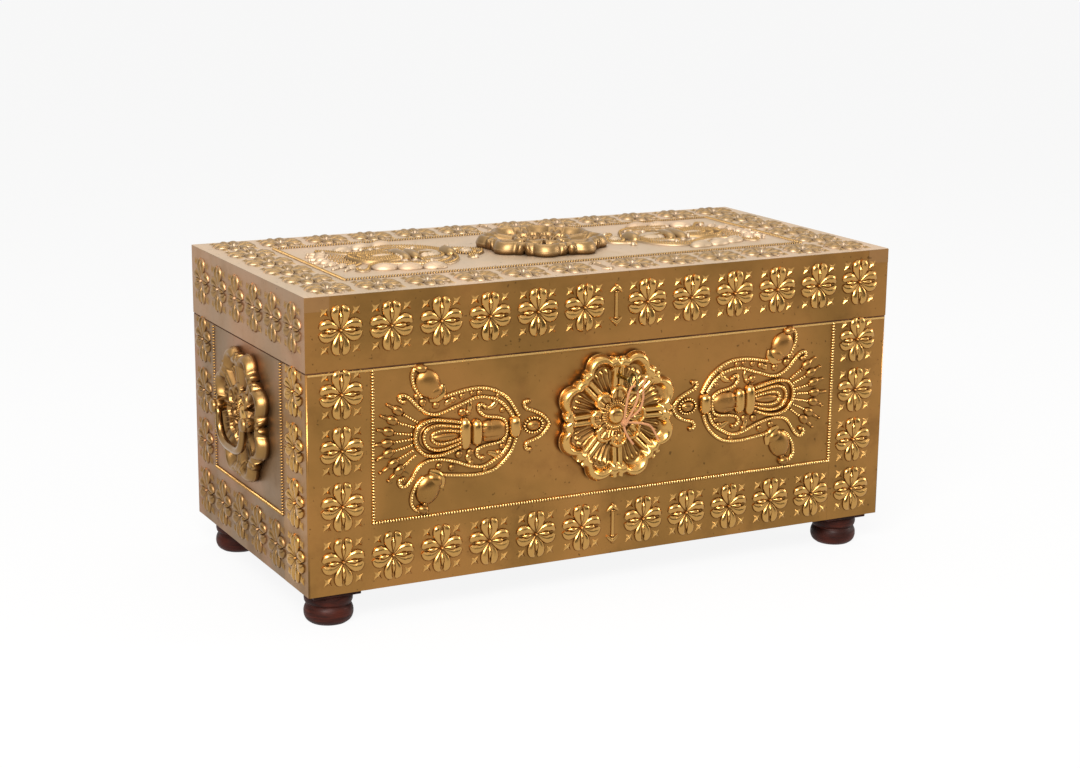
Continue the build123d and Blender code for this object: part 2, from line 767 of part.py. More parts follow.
def lock_bolt():
    """A sliding plate with a window round the key, a talon for its bit and a finger per staple."""
    plate = block((-bolt_left, bolt_front, key_z - bolt_foot),
                  (bolt_right, bolt_back, rim - bolt_shoulder))
    reach = key_shank_radius + slip_gap * 2
    plate -= block((-reach - bolt_throw, bolt_front, key_z - window_bottom),
                   (reach + slip_gap, bolt_back, key_z + window_top))
    plate -= block((-talon_left, bolt_front, key_z - talon_depth),
                   (talon_right, bolt_back, key_z - window_bottom))
    for x in staple_places:
        tip = x - staple_thickness / 2 - finger_rest_gap
        post = tip - bolt_throw
        plate += block((post - hook_width, bolt_front, rim - bolt_shoulder - 2),
                       (post, bolt_back, rim - finger_drop + finger_height))
        plate += block((post, bolt_front, rim - finger_drop),
                       (tip, bolt_back, rim - finger_drop + finger_height))
    left = staple_places[0] - staple_thickness / 2 - finger_rest_gap - bolt_throw - hook_width
    plate += block((left, bolt_front, rim - bolt_shoulder - 6),
                   (bolt_right, bolt_back, rim - bolt_shoulder))
    return plate


def strike_plate():
    """The part of the strike that lies in the lid's rail."""
    half = lock_width / 2
    return block((-half, case_front, lid_bottom), (half, case_back, lid_bottom + strike_thickness))


def lock_strike():
    """A plate under the lid's rail with two staples that the bolt's fingers enter."""
    low = rim - staple_depth
    strike = strike_plate() + staple_slots(low, lid_bottom + 0.5, 0)
    half_y = bolt_thickness / 2 + slip_gap
    z0, z1 = rim - finger_drop - slip_gap, rim - finger_drop + finger_height + slip_gap
    return strike - block((-lock_width, bolt_middle - half_y, z0),
                          (lock_width, bolt_middle + half_y, z1))


def key():
    """A shank with its bit in the lock, and an oval bow in the upright plane."""
    tip = case_back + lock_plate
    body = cylinder_along_y(key_shank_radius, key_front - 2, tip, 0, key_z)
    bit_front = bolt_front
    body += block((-key_bit_thickness / 2, bit_front, key_z - key_bit_reach),
                  (key_bit_thickness / 2, bit_front + key_bit_length, key_z))
    body += cylinder_along_y(key_collar_radius, key_front, key_front + key_collar_length, 0, key_z)
    outer = bow_outline(bow_width / 2, bow_height / 2)
    inner = bow_outline(bow_width / 2 - bow_rim, bow_height / 2 - bow_rim)
    bow = extrude(Plane(origin=(-bow_thickness / 2, bow_y, key_z), x_dir=(0, 1, 0),
                        z_dir=(1, 0, 0)) * (outer - inner), bow_thickness)
    return body + bow


def bow_outline(half_across, half_up):
    """An oval of short straight sides, with a side at each end of both axes."""
    turns = [2 * math.pi * (i + 0.5) / bow_sides for i in range(bow_sides)]
    return make_face(Polyline(*[(half_across * math.cos(t), half_up * math.sin(t))
                                for t in turns], close=True))


# ---------------------------------------------------------------------------
# Twine through the key's bow
# ---------------------------------------------------------------------------
twine_pivot = (0.0, bow_y, key_z - bow_height / 2 + bow_rim / 2)   # middle of the bow's lower rim
knot_at = (-5.0, 14.0, -47.0)                                      # from the pivot
loop_points = [(-6.4, 13.4, -45.0), (-9.0, 4.5, -21.0), (-5.6, 0.0, 5.6), (5.6, 0.0, 5.6),
               (9.4, 4.0, -19.0), (-2.0, 13.4, -45.0)]
tail_points = [(10.5, 17.0, -80.0), (-8.6, 15.6, -58.0), (-5.0, 14.0, -47.0), (22.0, 12.4, -50.4),
               (40.0, 14.0, -58.0), (49.0, 15.4, -79.0)]
strand_points = [(-3.5, 17.6, -44.6), (12.5, 9.0, -37.0), (16.5, 1.0, -14.0), (11.5, -3.0, 4.0),
                 (15.0, -4.0, 17.0)]


polygon_share = twine_sides * math.sin(2 * math.pi / twine_sides) / (2 * math.pi)
twine_section = RegularPolygon(twine_radius / math.sqrt(polygon_share), twine_sides)


def from_pivot(points):
    return [tuple(a + b for a, b in zip(twine_pivot, p)) for p in points]


def corner_radii(points):
    """For each corner, 0.45 of the shorter run divided by the tangent of half the turn."""
    radii = []
    for a, b, c in zip(points, points[1:], points[2:]):
        before, after = Vector(*b) - Vector(*a), Vector(*c) - Vector(*b)
        turn = math.radians(before.get_angle(after))
        radii.append(0.45 * min(before.length, after.length) / math.tan(turn / 2))
    return radii


def twine(name, points):
    """A tube along straight runs joined by tangent arcs."""
    route = from_pivot(points)
    radii = corner_radii(route)
    path = FilletPolyline(*route, radius=radii)
    tube = sweep(Plane(origin=path @ 0, z_dir=path % 0) * twine_section, path=path)
    expected = twine_section.area * path.length
    print(name, "radii", [round(r, 1) for r in radii], "length", round(path.length, 1),
          "volume", round(tube.volume, 1), "expected", round(expected, 1))
    return tube


def twine_knot():
    """The overhand knot, as one rounded lump."""
    place = [a + b for a, b in zip(twine_pivot, knot_at)]
    return Pos(*place) * extrude(RegularPolygon(twine_knot_radius, 8), twine_knot_half, both=True)


# ---------------------------------------------------------------------------
# Assembly
# ---------------------------------------------------------------------------
parts["base_front_board"] = base_front_board()
parts["base_back_board"] = base_back_board()
parts["base_left_board"] = base_side_board(-1)
parts["base_right_board"] = base_side_board(1)
parts["base_floor_board"] = base_floor_board()
parts["lid_front_rail"] = lid_front_rail()
parts["lid_back_rail"] = lid_back_rail()
parts["lid_left_rail"] = lid_side_rail(-1)
parts["lid_right_rail"] = lid_side_rail(1)
parts["lid_top_board"] = lid_top_board()

foot_x, foot_y = half_width - foot_inset_x, half_depth - foot_inset_y
for name, y in (("front_feet", -foot_y), ("rear_feet", foot_y)):
    parts[name] = [foot(-foot_x, y), foot(foot_x, y)]

parts["corner_sheet_front_left"] = corner_sheet(front_face, -1, left_face, 1)
parts["corner_sheet_front_right"] = corner_sheet(front_face, 1, right_face, -1)
parts["corner_sheet_rear_left"] = corner_sheet(back_face, 1, left_face, -1)
parts["corner_sheet_rear_right"] = corner_sheet(back_face, -1, right_face, 1)
parts["front_centre_sheet"] = front_centre_sheet()
parts["back_centre_sheet"] = back_centre_sheet()
for name, face in (("front", front_face), ("back", back_face)):
    parts[name + "_bottom_strip"] = bottom_strip(face, half_width, frame_inset_x, inner_row, True)
    parts[f"lid_{name}_strip"] = lid_strip(face, half_width, row_places, True)
for name, face in (("left", left_face), ("right", right_face)):
    parts[name + "_centre_sheet"] = side_centre_sheet(face)
    parts[name + "_bottom_strip"] = bottom_strip(face, half_depth, frame_inset_y, inner_side, False)
    parts[f"lid_{name}_strip"] = lid_strip(face, wood_half_depth, side_places, False)
parts["lid_back_strip"] -= hinge_seats(lid_bottom, lid_bottom + leaf_thickness)
parts["lid_top_front_strip"] = lid_top_long_strip(-1)
parts["lid_top_back_strip"] = lid_top_long_strip(1)
parts["lid_top_left_strip"] = lid_top_end_strip(-1)
parts["lid_top_right_strip"] = lid_top_end_strip(1)
parts["lid_top_centre_sheet"] = lid_top_centre_sheet()

parts["front_rosette"] = front_rosette()
parts["left_rosette"] = side_rosette(left_face)
parts["right_rosette"] = side_rosette(right_face)
parts["lid_rosette"] = top_face * rosette_form
parts["base_rosette_studs"] = [face * Pos(0, rosette_z, 0) * stud_form
                               for face in (front_face, left_face, right_face)]
parts["lid_rosette_stud"] = top_face * stud_form

for name, face in (("left", left_face), ("right", right_face)):
    parts[name + "_handle_bail"], parts[name + "_handle_eyes"] = handle_on(face)

hinge_places = (-hinge_offset, hinge_offset)
parts["hinge_base_leaves"] = [hinge_leaf(x, 0, rim - leaf_thickness, rim) + hinge_pin(x, 0)
                              for x in hinge_places]
parts["hinge_lid_leaves"] = [
    hinge_leaf(x, 1, lid_bottom, lid_bottom + leaf_thickness) - hinge_pin(x, running_gap)
    for x in hinge_places]

parts["lock_case"] = lock_case()
parts["lock_back_plate"] = lock_back_plate()
parts["lock_bolt"] = lock_bolt()
parts["lock_strike"] = lock_strike()
parts["key"] = key()
parts["twine_loop"] = twine("twine_loop", loop_points)
parts["twine_tails"] = twine("twine_tails", tail_points)
parts["twine_strand"] = twine("twine_strand", strand_points)
parts["twine_knot"] = twine_knot()

os.makedirs("parts", exist_ok=True)
for name, shape in parts.items():
    pieces = shape if isinstance(shape, list) else [shape]
    solids = [solid for piece in pieces for solid in piece.solids()]
    placed = Compound(children=[Pos(0, carcass_shift, 0) * solid for solid in solids])
    placed.label = name
    export_step(placed, f"parts/{name}.step")
print(len(parts), "nodes")
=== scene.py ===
# %% [markdown]
# # A brass-clad dowry chest
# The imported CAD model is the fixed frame.  Every wooden board, brass sheet, rosette, handle and
# cord has its place there, so each visible piece below is set on a place that the frame gives.

# %% Load the frame
import math

import bpy
import numpy as np
from mathutils import Matrix, Vector


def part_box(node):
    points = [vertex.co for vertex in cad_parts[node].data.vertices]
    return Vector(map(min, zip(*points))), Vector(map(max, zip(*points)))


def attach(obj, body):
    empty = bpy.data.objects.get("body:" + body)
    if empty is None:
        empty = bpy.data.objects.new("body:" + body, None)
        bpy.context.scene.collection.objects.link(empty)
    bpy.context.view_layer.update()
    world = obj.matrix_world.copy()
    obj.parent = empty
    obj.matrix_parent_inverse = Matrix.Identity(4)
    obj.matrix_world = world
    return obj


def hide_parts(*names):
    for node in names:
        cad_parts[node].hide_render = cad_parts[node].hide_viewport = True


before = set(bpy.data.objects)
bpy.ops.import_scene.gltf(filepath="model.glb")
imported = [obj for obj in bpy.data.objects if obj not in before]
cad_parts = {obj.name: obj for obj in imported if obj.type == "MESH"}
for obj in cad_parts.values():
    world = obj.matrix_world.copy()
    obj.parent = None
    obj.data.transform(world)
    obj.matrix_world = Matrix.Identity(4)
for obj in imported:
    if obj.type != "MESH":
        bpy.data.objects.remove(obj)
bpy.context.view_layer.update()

# %% [markdown]
# The main planes come from the boards: the brass sheet lies on them and is 0.8 mm thick.  The forms
# on a face are drawn in millimetres, with x to the viewer's right, y up and z outwards, and the
# face's matrix turns them, shrinks them to metres and sets them on the chest.

# %% Planes of the chest
MM = 0.001
SHEET = 0.8
wood_low, wood_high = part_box("lid_top_board")
half_width = wood_high[0] / MM + SHEET
half_depth = (wood_high[1] - wood_low[1]) / 2 / MM + SHEET
middle_y = (wood_high[1] + wood_low[1]) / 2 / MM
base_low, base_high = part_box("base_front_board")
base_bottom, rim = base_low[2] / MM, base_high[2] / MM
lid_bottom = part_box("lid_front_rail")[0][2] / MM
lid_top = wood_high[2] / MM + SHEET


def face_matrix(origin, right, out):
    """The frame of one face, in metres from millimetres."""
    right, out = Vector(right), Vector(out)
    turn = Matrix((right, out.cross(right), out)).transposed().to_4x4()
    return Matrix.Scale(MM, 4) @ Matrix.Translation(origin) @ turn


FACES = {
    "front": face_matrix((0, middle_y - half_depth, 0), (1, 0, 0), (0, -1, 0)),
    "back": face_matrix((0, middle_y + half_depth, 0), (-1, 0, 0), (0, 1, 0)),
    "left": face_matrix((-half_width, middle_y, 0), (0, -1, 0), (-1, 0, 0)),
    "right": face_matrix((half_width, middle_y, 0), (0, 1, 0), (1, 0, 0)),
    "top": face_matrix((0, middle_y, lid_top), (1, 0, 0), (0, 0, 1)),
}
print("half width", round(half_width, 2), "half depth", round(half_depth, 2), "top", round(lid_top, 2))

# %% [markdown]
# The camera stands to the left of the chest and a little above it, with a long lens, so that the
# front, the left side and the lid all show and upright lines stay nearly upright.

# %% Camera
CAMERA_PLACE = (-1.401625, -2.653979, 0.957238)
CAMERA_TURN, CAMERA_DOWN, CAMERA_ROLL = -27.589, 13.282, 0.564
CAMERA_LENS = 71.06


def add_camera():
    bpy.ops.object.camera_add()
    camera = bpy.context.object
    camera.name = "camera"
    camera.data.lens = CAMERA_LENS
    camera.data.sensor_width = 36.0
    camera.matrix_world = (Matrix.Translation(CAMERA_PLACE)
                           @ Matrix.Rotation(math.radians(CAMERA_TURN), 4, "Z")
                           @ Matrix.Rotation(math.radians(90 - CAMERA_DOWN), 4, "X")
                           @ Matrix.Rotation(math.radians(CAMERA_ROLL), 4, "Z"))
    bpy.context.scene.camera = camera


add_camera()
bpy.context.scene.view_settings.view_transform = "Standard"
print("camera", CAMERA_PLACE)

# %% [markdown]
# The key wears a loop of jute twine.  It hangs from the key's bow to a knot, and three tails leave
# the knot, one of them back up beside the bow.  Each is a NURBS curve through the same points as
# its CAD tube, so it hangs where the checks expect it.

# %% Twine
TWINE_RADIUS = 1.6
TWINE_PIVOT = (0.0, -244.15, 292.5)
LOOP_POINTS = [(-6.4, 13.4, -45.0), (-9.0, 4.5, -21.0), (-5.6, 0.0, 5.6), (5.6, 0.0, 5.6),
               (9.4, 4.0, -19.0), (-2.0, 13.4, -45.0)]
DOWN_TAIL_POINTS = [(-5.0, 14.0, -47.0), (-8.6, 15.6, -58.0), (10.5, 17.0, -80.0)]
SIDE_TAIL_POINTS = [(-5.0, 14.0, -47.0), (22.0, 12.4, -50.4), (40.0, 14.0, -58.0),
                    (49.0, 15.4, -79.0)]
STRAND_POINTS = [(-3.5, 17.6, -44.6), (12.5, 9.0, -37.0), (16.5, 1.0, -14.0), (11.5, -3.0, 4.0),
                 (15.0, -4.0, 17.0)]


def deselect_all():
    if bpy.context.mode != "OBJECT":
        bpy.ops.object.mode_set(mode="OBJECT")
    bpy.ops.object.select_all(action="DESELECT")


def nurbs_path(name, points, radii=None, bevel=1.0, sides=2):
    """A round rod along a smooth curve, with a radius at each point."""
    deselect_all()
    bpy.ops.curve.primitive_nurbs_path_add()
    rod = bpy.context.object
    rod.name = name
    spline = rod.data.splines[0]
    spline.points.add(max(0, len(points) - len(spline.points)))
    if len(points) < len(spline.points):
        rod.data.splines.clear()
        spline = rod.data.splines.new("NURBS")
        spline.points.add(len(points) - 1)
    for i, (point, place) in enumerate(zip(spline.points, points)):
        point.co = (*place, 1.0)
        point.radius = radii[i] if radii else 1.0
    spline.order_u = 3
    spline.use_endpoint_u = True
    rod.data.bevel_depth = bevel
    rod.data.bevel_resolution = sides
    rod.data.use_fill_caps = True
    return rod


def curve_line(rod):
    """The middle line of a curve, as points."""
    depth, rod.data.bevel_depth = rod.data.bevel_depth, 0.0
    graph = bpy.context.evaluated_depsgraph_get()
    line = bpy.data.meshes.new_from_object(rod.evaluated_get(graph))
    rod.data.bevel_depth = depth
    points = [vertex.co.copy() for vertex in line.vertices]
    bpy.data.meshes.remove(line)
    return points


def curve_length(rod):
    points = curve_line(rod)
    return sum((b - a).length for a, b in zip(points, points[1:]))


def add_twine(name, points, node):
    route = [tuple(MM * (a + b) for a, b in zip(TWINE_PIVOT, point)) for point in points]
    twine = nurbs_path(name, route, [TWINE_RADIUS * MM] * len(route), sides=3)
    twine.data.resolution_u = 16
    bpy.context.view_layer.update()
    length = curve_length(twine)
    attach(twine, "twine")
    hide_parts(node)
    print(name, "length", round(length, 4))
    return twine


twine_loop = add_twine("twine_loop_cord", LOOP_POINTS, "twine_loop")
twine_down_tail = add_twine("twine_down_tail", DOWN_TAIL_POINTS, "twine_tails")
twine_side_tail = add_twine("twine_side_tail", SIDE_TAIL_POINTS, "twine_tails")
twine_strand = add_twine("twine_up_tail", STRAND_POINTS, "twine_strand")

# %% [markdown]
# ## Finishes
# Brass that nobody has lacquered turns brown in the hollows and stays bright where hands and cloths rub it.
# One node group makes that: it mixes a tarnish and a plain tone with noise at several scales, darkens the
# crevices with a brown that is partly that tarnish and partly painted shade, lifts the tops of the stamped
# forms to a polished tone, and paints the small beads toward a pale tone as a painted highlight.


# %% Node helpers
def new_material(name):
    material = bpy.data.materials.new(name)
    material.use_nodes = True
    nodes, links = material.node_tree.nodes, material.node_tree.links
    return material, nodes, links, nodes["Principled BSDF"]


def new_group(name, inputs, outputs):
    """A shader node group with named inputs (type, default) and outputs."""
    group = bpy.data.node_groups.new(name, "ShaderNodeTree")
    for label, (kind, default) in inputs.items():
        socket = group.interface.new_socket(label, in_out="INPUT", socket_type=kind)
        if default is not None:
            socket.default_value = default
    for label, kind in outputs.items():
        group.interface.new_socket(label, in_out="OUTPUT", socket_type=kind)
    return group, group.nodes.new("NodeGroupInput"), group.nodes.new("NodeGroupOutput")


def noise(tree, vector, scale, detail=3.0, roughness=0.5, distortion=0.0):
    node = tree.nodes.new("ShaderNodeTexNoise")
    node.inputs["Scale"].default_value = scale
    node.inputs["Detail"].default_value = detail
    node.inputs["Roughness"].default_value = roughness
    node.inputs["Distortion"].default_value = distortion
    tree.links.new(vector, node.inputs["Vector"])
    return node.outputs["Fac"]


def spread(tree, value, low, high, to_low=0.0, to_high=1.0):
    """A value between two limits, spread over another range."""
    node = tree.nodes.new("ShaderNodeMapRange")
    node.interpolation_type = "SMOOTHSTEP"
    for label, number in (("From Min", low), ("From Max", high), ("To Min", to_low), ("To Max", to_high)):
        node.inputs[label].default_value = number
    tree.links.new(value, node.inputs["Value"])
    return node.outputs["Result"]


def mixed(tree, factor, first, second):
    """A colour mix; each of the three may be a socket or a plain value."""
    node = tree.nodes.new("ShaderNodeMix")
    node.data_type = "RGBA"
    for socket, value in ((node.inputs["Factor"], factor), (node.inputs["A"], first),
                          (node.inputs["B"], second)):
        if isinstance(value, bpy.types.NodeSocket):
            tree.links.new(value, socket)
        elif isinstance(value, tuple):
            socket.default_value = (*value, 1.0)
        else:
            socket.default_value = value
    return node.outputs["Result"]


def math_node(tree, operation, first, second, clamp=False):
    node = tree.nodes.new("ShaderNodeMath")
    node.operation = operation
    node.use_clamp = clamp
    for socket, value in zip(node.inputs, (first, second)):
        if isinstance(value, bpy.types.NodeSocket):
            tree.links.new(value, socket)
        else:
            socket.default_value = value
    return node.outputs["Value"]


def srgb(red, green, blue):
    """A colour named by its 0 to 255 screen values, as the renderer's linear numbers."""
    return tuple(((c / 255 + 0.055) / 1.055) ** 2.4 if c > 10 else c / 3294 for c in (red, green, blue))


# %% Aged brass, as a node group
def make_aged_brass():
    group, given, made = new_group(
        "aged_brass",
        {"Vector": ("NodeSocketVector", None), "Crevice": ("NodeSocketFloat", 1.0),
         "Relief": ("NodeSocketFloat", 0.0), "Tarnish": ("NodeSocketColor", (*srgb(96, 67, 36), 1)),
         "Plain": ("NodeSocketColor", (*srgb(163, 120, 63), 1)),
         "Polished": ("NodeSocketColor", (*srgb(192, 148, 84), 1)),
         "Bright": ("NodeSocketColor", (*srgb(250, 212, 138), 1)),
         "Copper": ("NodeSocketColor", (*srgb(176, 106, 70), 1)),
         "Copper Amount": ("NodeSocketFloat", 0.15), "Dull": ("NodeSocketFloat", 0.0)},
        {"Color": "NodeSocketColor", "Roughness": "NodeSocketFloat", "Height": "NodeSocketFloat"})
    vector = given.outputs["Vector"]
    clouds = noise(group, vector, 5.0, 4.0, 0.55, 0.3)
    blotch = noise(group, vector, 17.0, 5.0, 0.6)
    grain = noise(group, vector, 90.0, 4.0, 0.6)
    specks = noise(group, vector, 160.0, 2.0, 0.5)
    tone = mixed(group, spread(group, clouds, 0.38, 0.68, 0.0, 0.42), given.outputs["Plain"],
                 given.outputs["Tarnish"])
    tone = mixed(group, spread(group, blotch, 0.5, 0.75, 0.0, 0.35), tone, given.outputs["Tarnish"])
    copper = math_node(group, "MULTIPLY", spread(group, clouds, 0.62, 0.36), given.outputs["Copper Amount"])
    tone = mixed(group, copper, tone, given.outputs["Copper"])
    tone = mixed(group, spread(group, specks, 0.68, 0.74, 0.0, 0.55), tone, srgb(52, 36, 22))
    polish = spread(group, given.outputs["Relief"], 0.12, 0.62)
    tone = mixed(group, math_node(group, "MULTIPLY", polish, 0.85), tone, given.outputs["Polished"])
    # Where the relief passes one the tone goes toward a pale one: a painted highlight on the small beads, the
    # stars and the stud's ribs.
    bright = spread(group, given.outputs["Relief"], 1.0, 2.0, 0.0, 0.9)
    tone = mixed(group, bright, tone, given.outputs["Bright"])
    # The crevices darken toward a dark brown: partly tarnish, partly painted shade from the occlusion mask.
    hollow = math_node(group, "MULTIPLY", spread(group, given.outputs["Crevice"], 0.8, 0.25, 0.0, 0.66),
                       spread(group, given.outputs["Relief"], 0.2, 1.1, 1.0, 0.15))
    tone = mixed(group, hollow, tone, srgb(66, 40, 18))
    group.links.new(tone, made.inputs["Color"])
    rough = spread(group, blotch, 0.35, 0.7, 0.28, 0.4)
    rough = math_node(group, "ADD", rough, math_node(group, "MULTIPLY", hollow, 0.22))
    rough = math_node(group, "SUBTRACT", rough, math_node(group, "MULTIPLY", polish, 0.11), clamp=True)
    group.links.new(math_node(group, "ADD", rough, given.outputs["Dull"]), made.inputs["Roughness"])
    height = math_node(group, "ADD", math_node(group, "MULTIPLY", grain, 0.12),
                       math_node(group, "MULTIPLY", blotch, 0.5))
    group.links.new(math_node(group, "ADD", height, clouds), made.inputs["Height"])
    return group


aged_brass = make_aged_brass()


def brass_material(name, tarnish_and_shade_reach=0.006, **values):
    """A brass finish: the group, a crevice mask for tarnish and painted shade, the relief attribute and a
    light bump.

    A value is a number or a tone by its screen values, for the group's input of that name.
    """
    material, nodes, links, shader = new_material(name)
    tree = material.node_tree
    place = nodes.new("ShaderNodeTexCoord")
    group = nodes.new("ShaderNodeGroup")
    group.node_tree = aged_brass
    # The occlusion mask's reach sets how far the tarnish and the painted shade spread round the forms.
    crevice = nodes.new("ShaderNodeAmbientOcclusion")
    crevice.inputs["Distance"].default_value = tarnish_and_shade_reach
    crevice.samples = 6
    relief = nodes.new("ShaderNodeAttribute")
    relief.attribute_name = "relief"
    links.new(place.outputs["Object"], group.inputs["Vector"])
    links.new(crevice.outputs["AO"], group.inputs["Crevice"])
    links.new(relief.outputs["Fac"], group.inputs["Relief"])
    for label, value in values.items():
        socket = group.inputs[label.replace("_", " ")]
        socket.default_value = (*srgb(*value), 1.0) if isinstance(value, tuple) else value
    links.new(group.outputs["Color"], shader.inputs["Base Color"])
    links.new(group.outputs["Roughness"], shader.inputs["Roughness"])
    shader.inputs["Metallic"].default_value = 1.0
    dents = nodes.new("ShaderNodeBump")
    dents.inputs["Strength"].default_value = 0.25
    dents.inputs["Distance"].default_value = 0.004
    links.new(group.outputs["Height"], dents.inputs["Height"])
    links.new(dents.outputs["Normal"], shader.inputs["Normal"])
    print("finish", name, "with", len(tree.nodes), "nodes")
    return material


# Each face has its own copy of the brass, with tones set to the light that face gets.  The lid's top is
# painted pale, a painted reflection of the white backdrop, and the lid's sides are painted paler than the
# base's sides.  The sides and their rosettes are pinker with copper patina and duller, and their forms are
# painted darker with a weaker painted highlight: painted shade.
front_brass = brass_material("front_brass")
side_brass = brass_material("side_brass", Plain=(150, 121, 86), Polished=(148, 113, 66),
                            Bright=(164, 126, 74), Copper_Amount=0.4, Dull=0.12)
lid_side_brass = brass_material("lid_side_brass", Plain=(176, 144, 110), Tarnish=(132, 102, 76),
                                Polished=(156, 121, 72), Bright=(164, 127, 76), Copper_Amount=0.2, Dull=0.16)
lid_brass = brass_material("lid_brass", Plain=(188, 167, 141), Tarnish=(150, 130, 104),
                           Polished=(140, 110, 66), Bright=(148, 116, 69), Copper_Amount=0.1, Dull=0.24)
side_cast_brass = brass_material("side_cast_brass", 0.014, Plain=(124, 93, 57), Tarnish=(82, 60, 38),
                                 Polished=(152, 117, 70), Bright=(206, 164, 98), Dull=0.14)
lid_cast_brass = brass_material("lid_cast_brass", 0.01, Plain=(138, 111, 75), Tarnish=(108, 86, 58),
                                Polished=(144, 115, 76), Bright=(170, 137, 86), Dull=0.2)
cast_brass = brass_material("cast_brass", 0.01, Plain=(146, 104, 54), Tarnish=(96, 66, 34),
                            Polished=(204, 160, 92))
# The front's rolled rim is painted pale: a painted highlight.
rim_highlight_brass = brass_material("rim_highlight_brass", Plain=(214, 174, 106), Tarnish=(160, 120, 66),
                           Polished=(226, 184, 114))
bail_brass = brass_material("bail_brass", Plain=(124, 94, 56), Tarnish=(74, 54, 32),
                            Polished=(148, 114, 68))
lap_brass = brass_material("lap_brass", Plain=(162, 124, 78), Tarnish=(114, 86, 58), Dull=0.1)
key_brass = brass_material("key_brass", Plain=(120, 108, 66), Tarnish=(72, 62, 40),
                           Polished=(150, 132, 84))


# %% [markdown]
# The feet and the hidden carcass are wood.  Its grain is a stretched noise that runs along the
# board, or round and round on a turned foot, with pores in the bump.

# %% Wood
def wood_material(name, dark, light, stretch, gloss):
    material, nodes, links, shader = new_material(name)
    tree = material.node_tree
    place = nodes.new("ShaderNodeTexCoord")
    mapping = nodes.new("ShaderNodeMapping")
    mapping.inputs["Scale"].default_value = stretch
    links.new(place.outputs["Object"], mapping.inputs["Vector"])
    grain = noise(tree, mapping.outputs["Vector"], 14.0, 6.0, 0.6, 1.2)
    pores = noise(tree, mapping.outputs["Vector"], 90.0, 3.0, 0.5)
    tone = mixed(tree, spread(tree, grain, 0.35, 0.68), dark, light)
    tone = mixed(tree, spread(tree, pores, 0.55, 0.7, 0.0, 0.5), tone, tuple(0.5 * c for c in dark))
    links.new(tone, shader.inputs["Base Color"])
    links.new(spread(tree, pores, 0.3, 0.7, gloss, gloss + 0.2), shader.inputs["Roughness"])
    shader.inputs["Specular IOR Level"].default_value = 0.15
    dents = nodes.new("ShaderNodeBump")
    dents.inputs["Strength"].default_value = 0.3
    dents.inputs["Distance"].default_value = 0.0006
    links.new(pores, dents.inputs["Height"])
    links.new(dents.outputs["Normal"], shader.inputs["Normal"])
    return material


board_wood = wood_material("board_wood", srgb(54, 33, 20), srgb(98, 64, 40), (1.0, 6.0, 9.0), 0.62)
foot_wood = wood_material("foot_wood", srgb(37, 12, 6), srgb(64, 23, 12), (1.0, 1.0, 7.0), 0.42)


# %% [markdown]
# The hinges and the lock are iron, and the twine is twisted jute.  The twist is a slanting wave.

# %% Iron and jute
def iron_material():
    material, nodes, links, shader = new_material("dull_iron")
    tree = material.node_tree
    place = nodes.new("ShaderNodeTexCoord")
    rust = noise(tree, place.outputs["Object"], 120.0, 5.0, 0.6)
    links.new(mixed(tree, spread(tree, rust, 0.5, 0.7), srgb(74, 70, 66), srgb(104, 66, 42)),
              shader.inputs["Base Color"])
    links.new(spread(tree, rust, 0.4, 0.7, 0.4, 0.75), shader.inputs["Roughness"])
    links.new(spread(tree, rust, 0.5, 0.7, 0.9, 0.3), shader.inputs["Metallic"])
    return material


def jute_material():
    material, nodes, links, shader = new_material("jute")
    tree = material.node_tree
    place = nodes.new("ShaderNodeTexCoord")
    turn = nodes.new("ShaderNodeMapping")
    turn.inputs["Rotation"].default_value = (0.0, math.radians(38), 0.0)
    links.new(place.outputs["Object"], turn.inputs["Vector"])
    twist = nodes.new("ShaderNodeTexWave")
    twist.bands_direction = "Z"
    twist.inputs["Scale"].default_value = 190.0
    twist.inputs["Distortion"].default_value = 3.0
    links.new(turn.outputs["Vector"], twist.inputs["Vector"])
    fibres = noise(tree, place.outputs["Object"], 900.0, 4.0, 0.7)
    tone = mixed(tree, spread(tree, fibres, 0.35, 0.65), srgb(166, 110, 70), srgb(198, 146, 100))
    tone = mixed(tree, spread(tree, twist.outputs["Fac"], 0.0, 0.35, 0.6, 0.0), tone, srgb(150, 92, 62))
    links.new(tone, shader.inputs["Base Color"])
    shader.inputs["Roughness"].default_value = 0.9
    dents = nodes.new("ShaderNodeBump")
    dents.inputs["Strength"].default_value = 0.8
    dents.inputs["Distance"].default_value = 0.0006
    links.new(math_node(tree, "ADD", twist.outputs["Fac"], fibres), dents.inputs["Height"])
    links.new(dents.outputs["Normal"], shader.inputs["Normal"])
    return material


dull_iron = iron_material()
jute = jute_material()
for cord in (twine_loop, twine_down_tail, twine_side_tail, twine_strand):
    cord.data.materials.append(jute)
print("materials", len(bpy.data.materials))

# %% [markdown]
# ## Stamped forms
# The brass worker beats each form out of the sheet from behind.  Here every form is modelled once,
# lying on a flat face, and copied to its places.  A helper joins the copies into one mesh and keeps
# each point's height over the sheet as an attribute, which the finish uses to polish the tops.


# %% Copy and join forms
RELIEF_FULL = 4.5            # millimetres over the sheet at which a form is fully polished


def take_mesh(thing):
    """An object's finished mesh; the object itself goes."""
    deselect_all()
    thing.select_set(True)
    bpy.context.view_layer.objects.active = thing
    if thing.type == "CURVE":
        bpy.ops.object.convert(target="MESH")
        thing = bpy.context.object
    for modifier in list(thing.modifiers):
        bpy.ops.object.modifier_apply(modifier=modifier.name)
    mesh = thing.data
    mesh.transform(thing.matrix_world)
    bpy.data.objects.remove(thing)
    return mesh


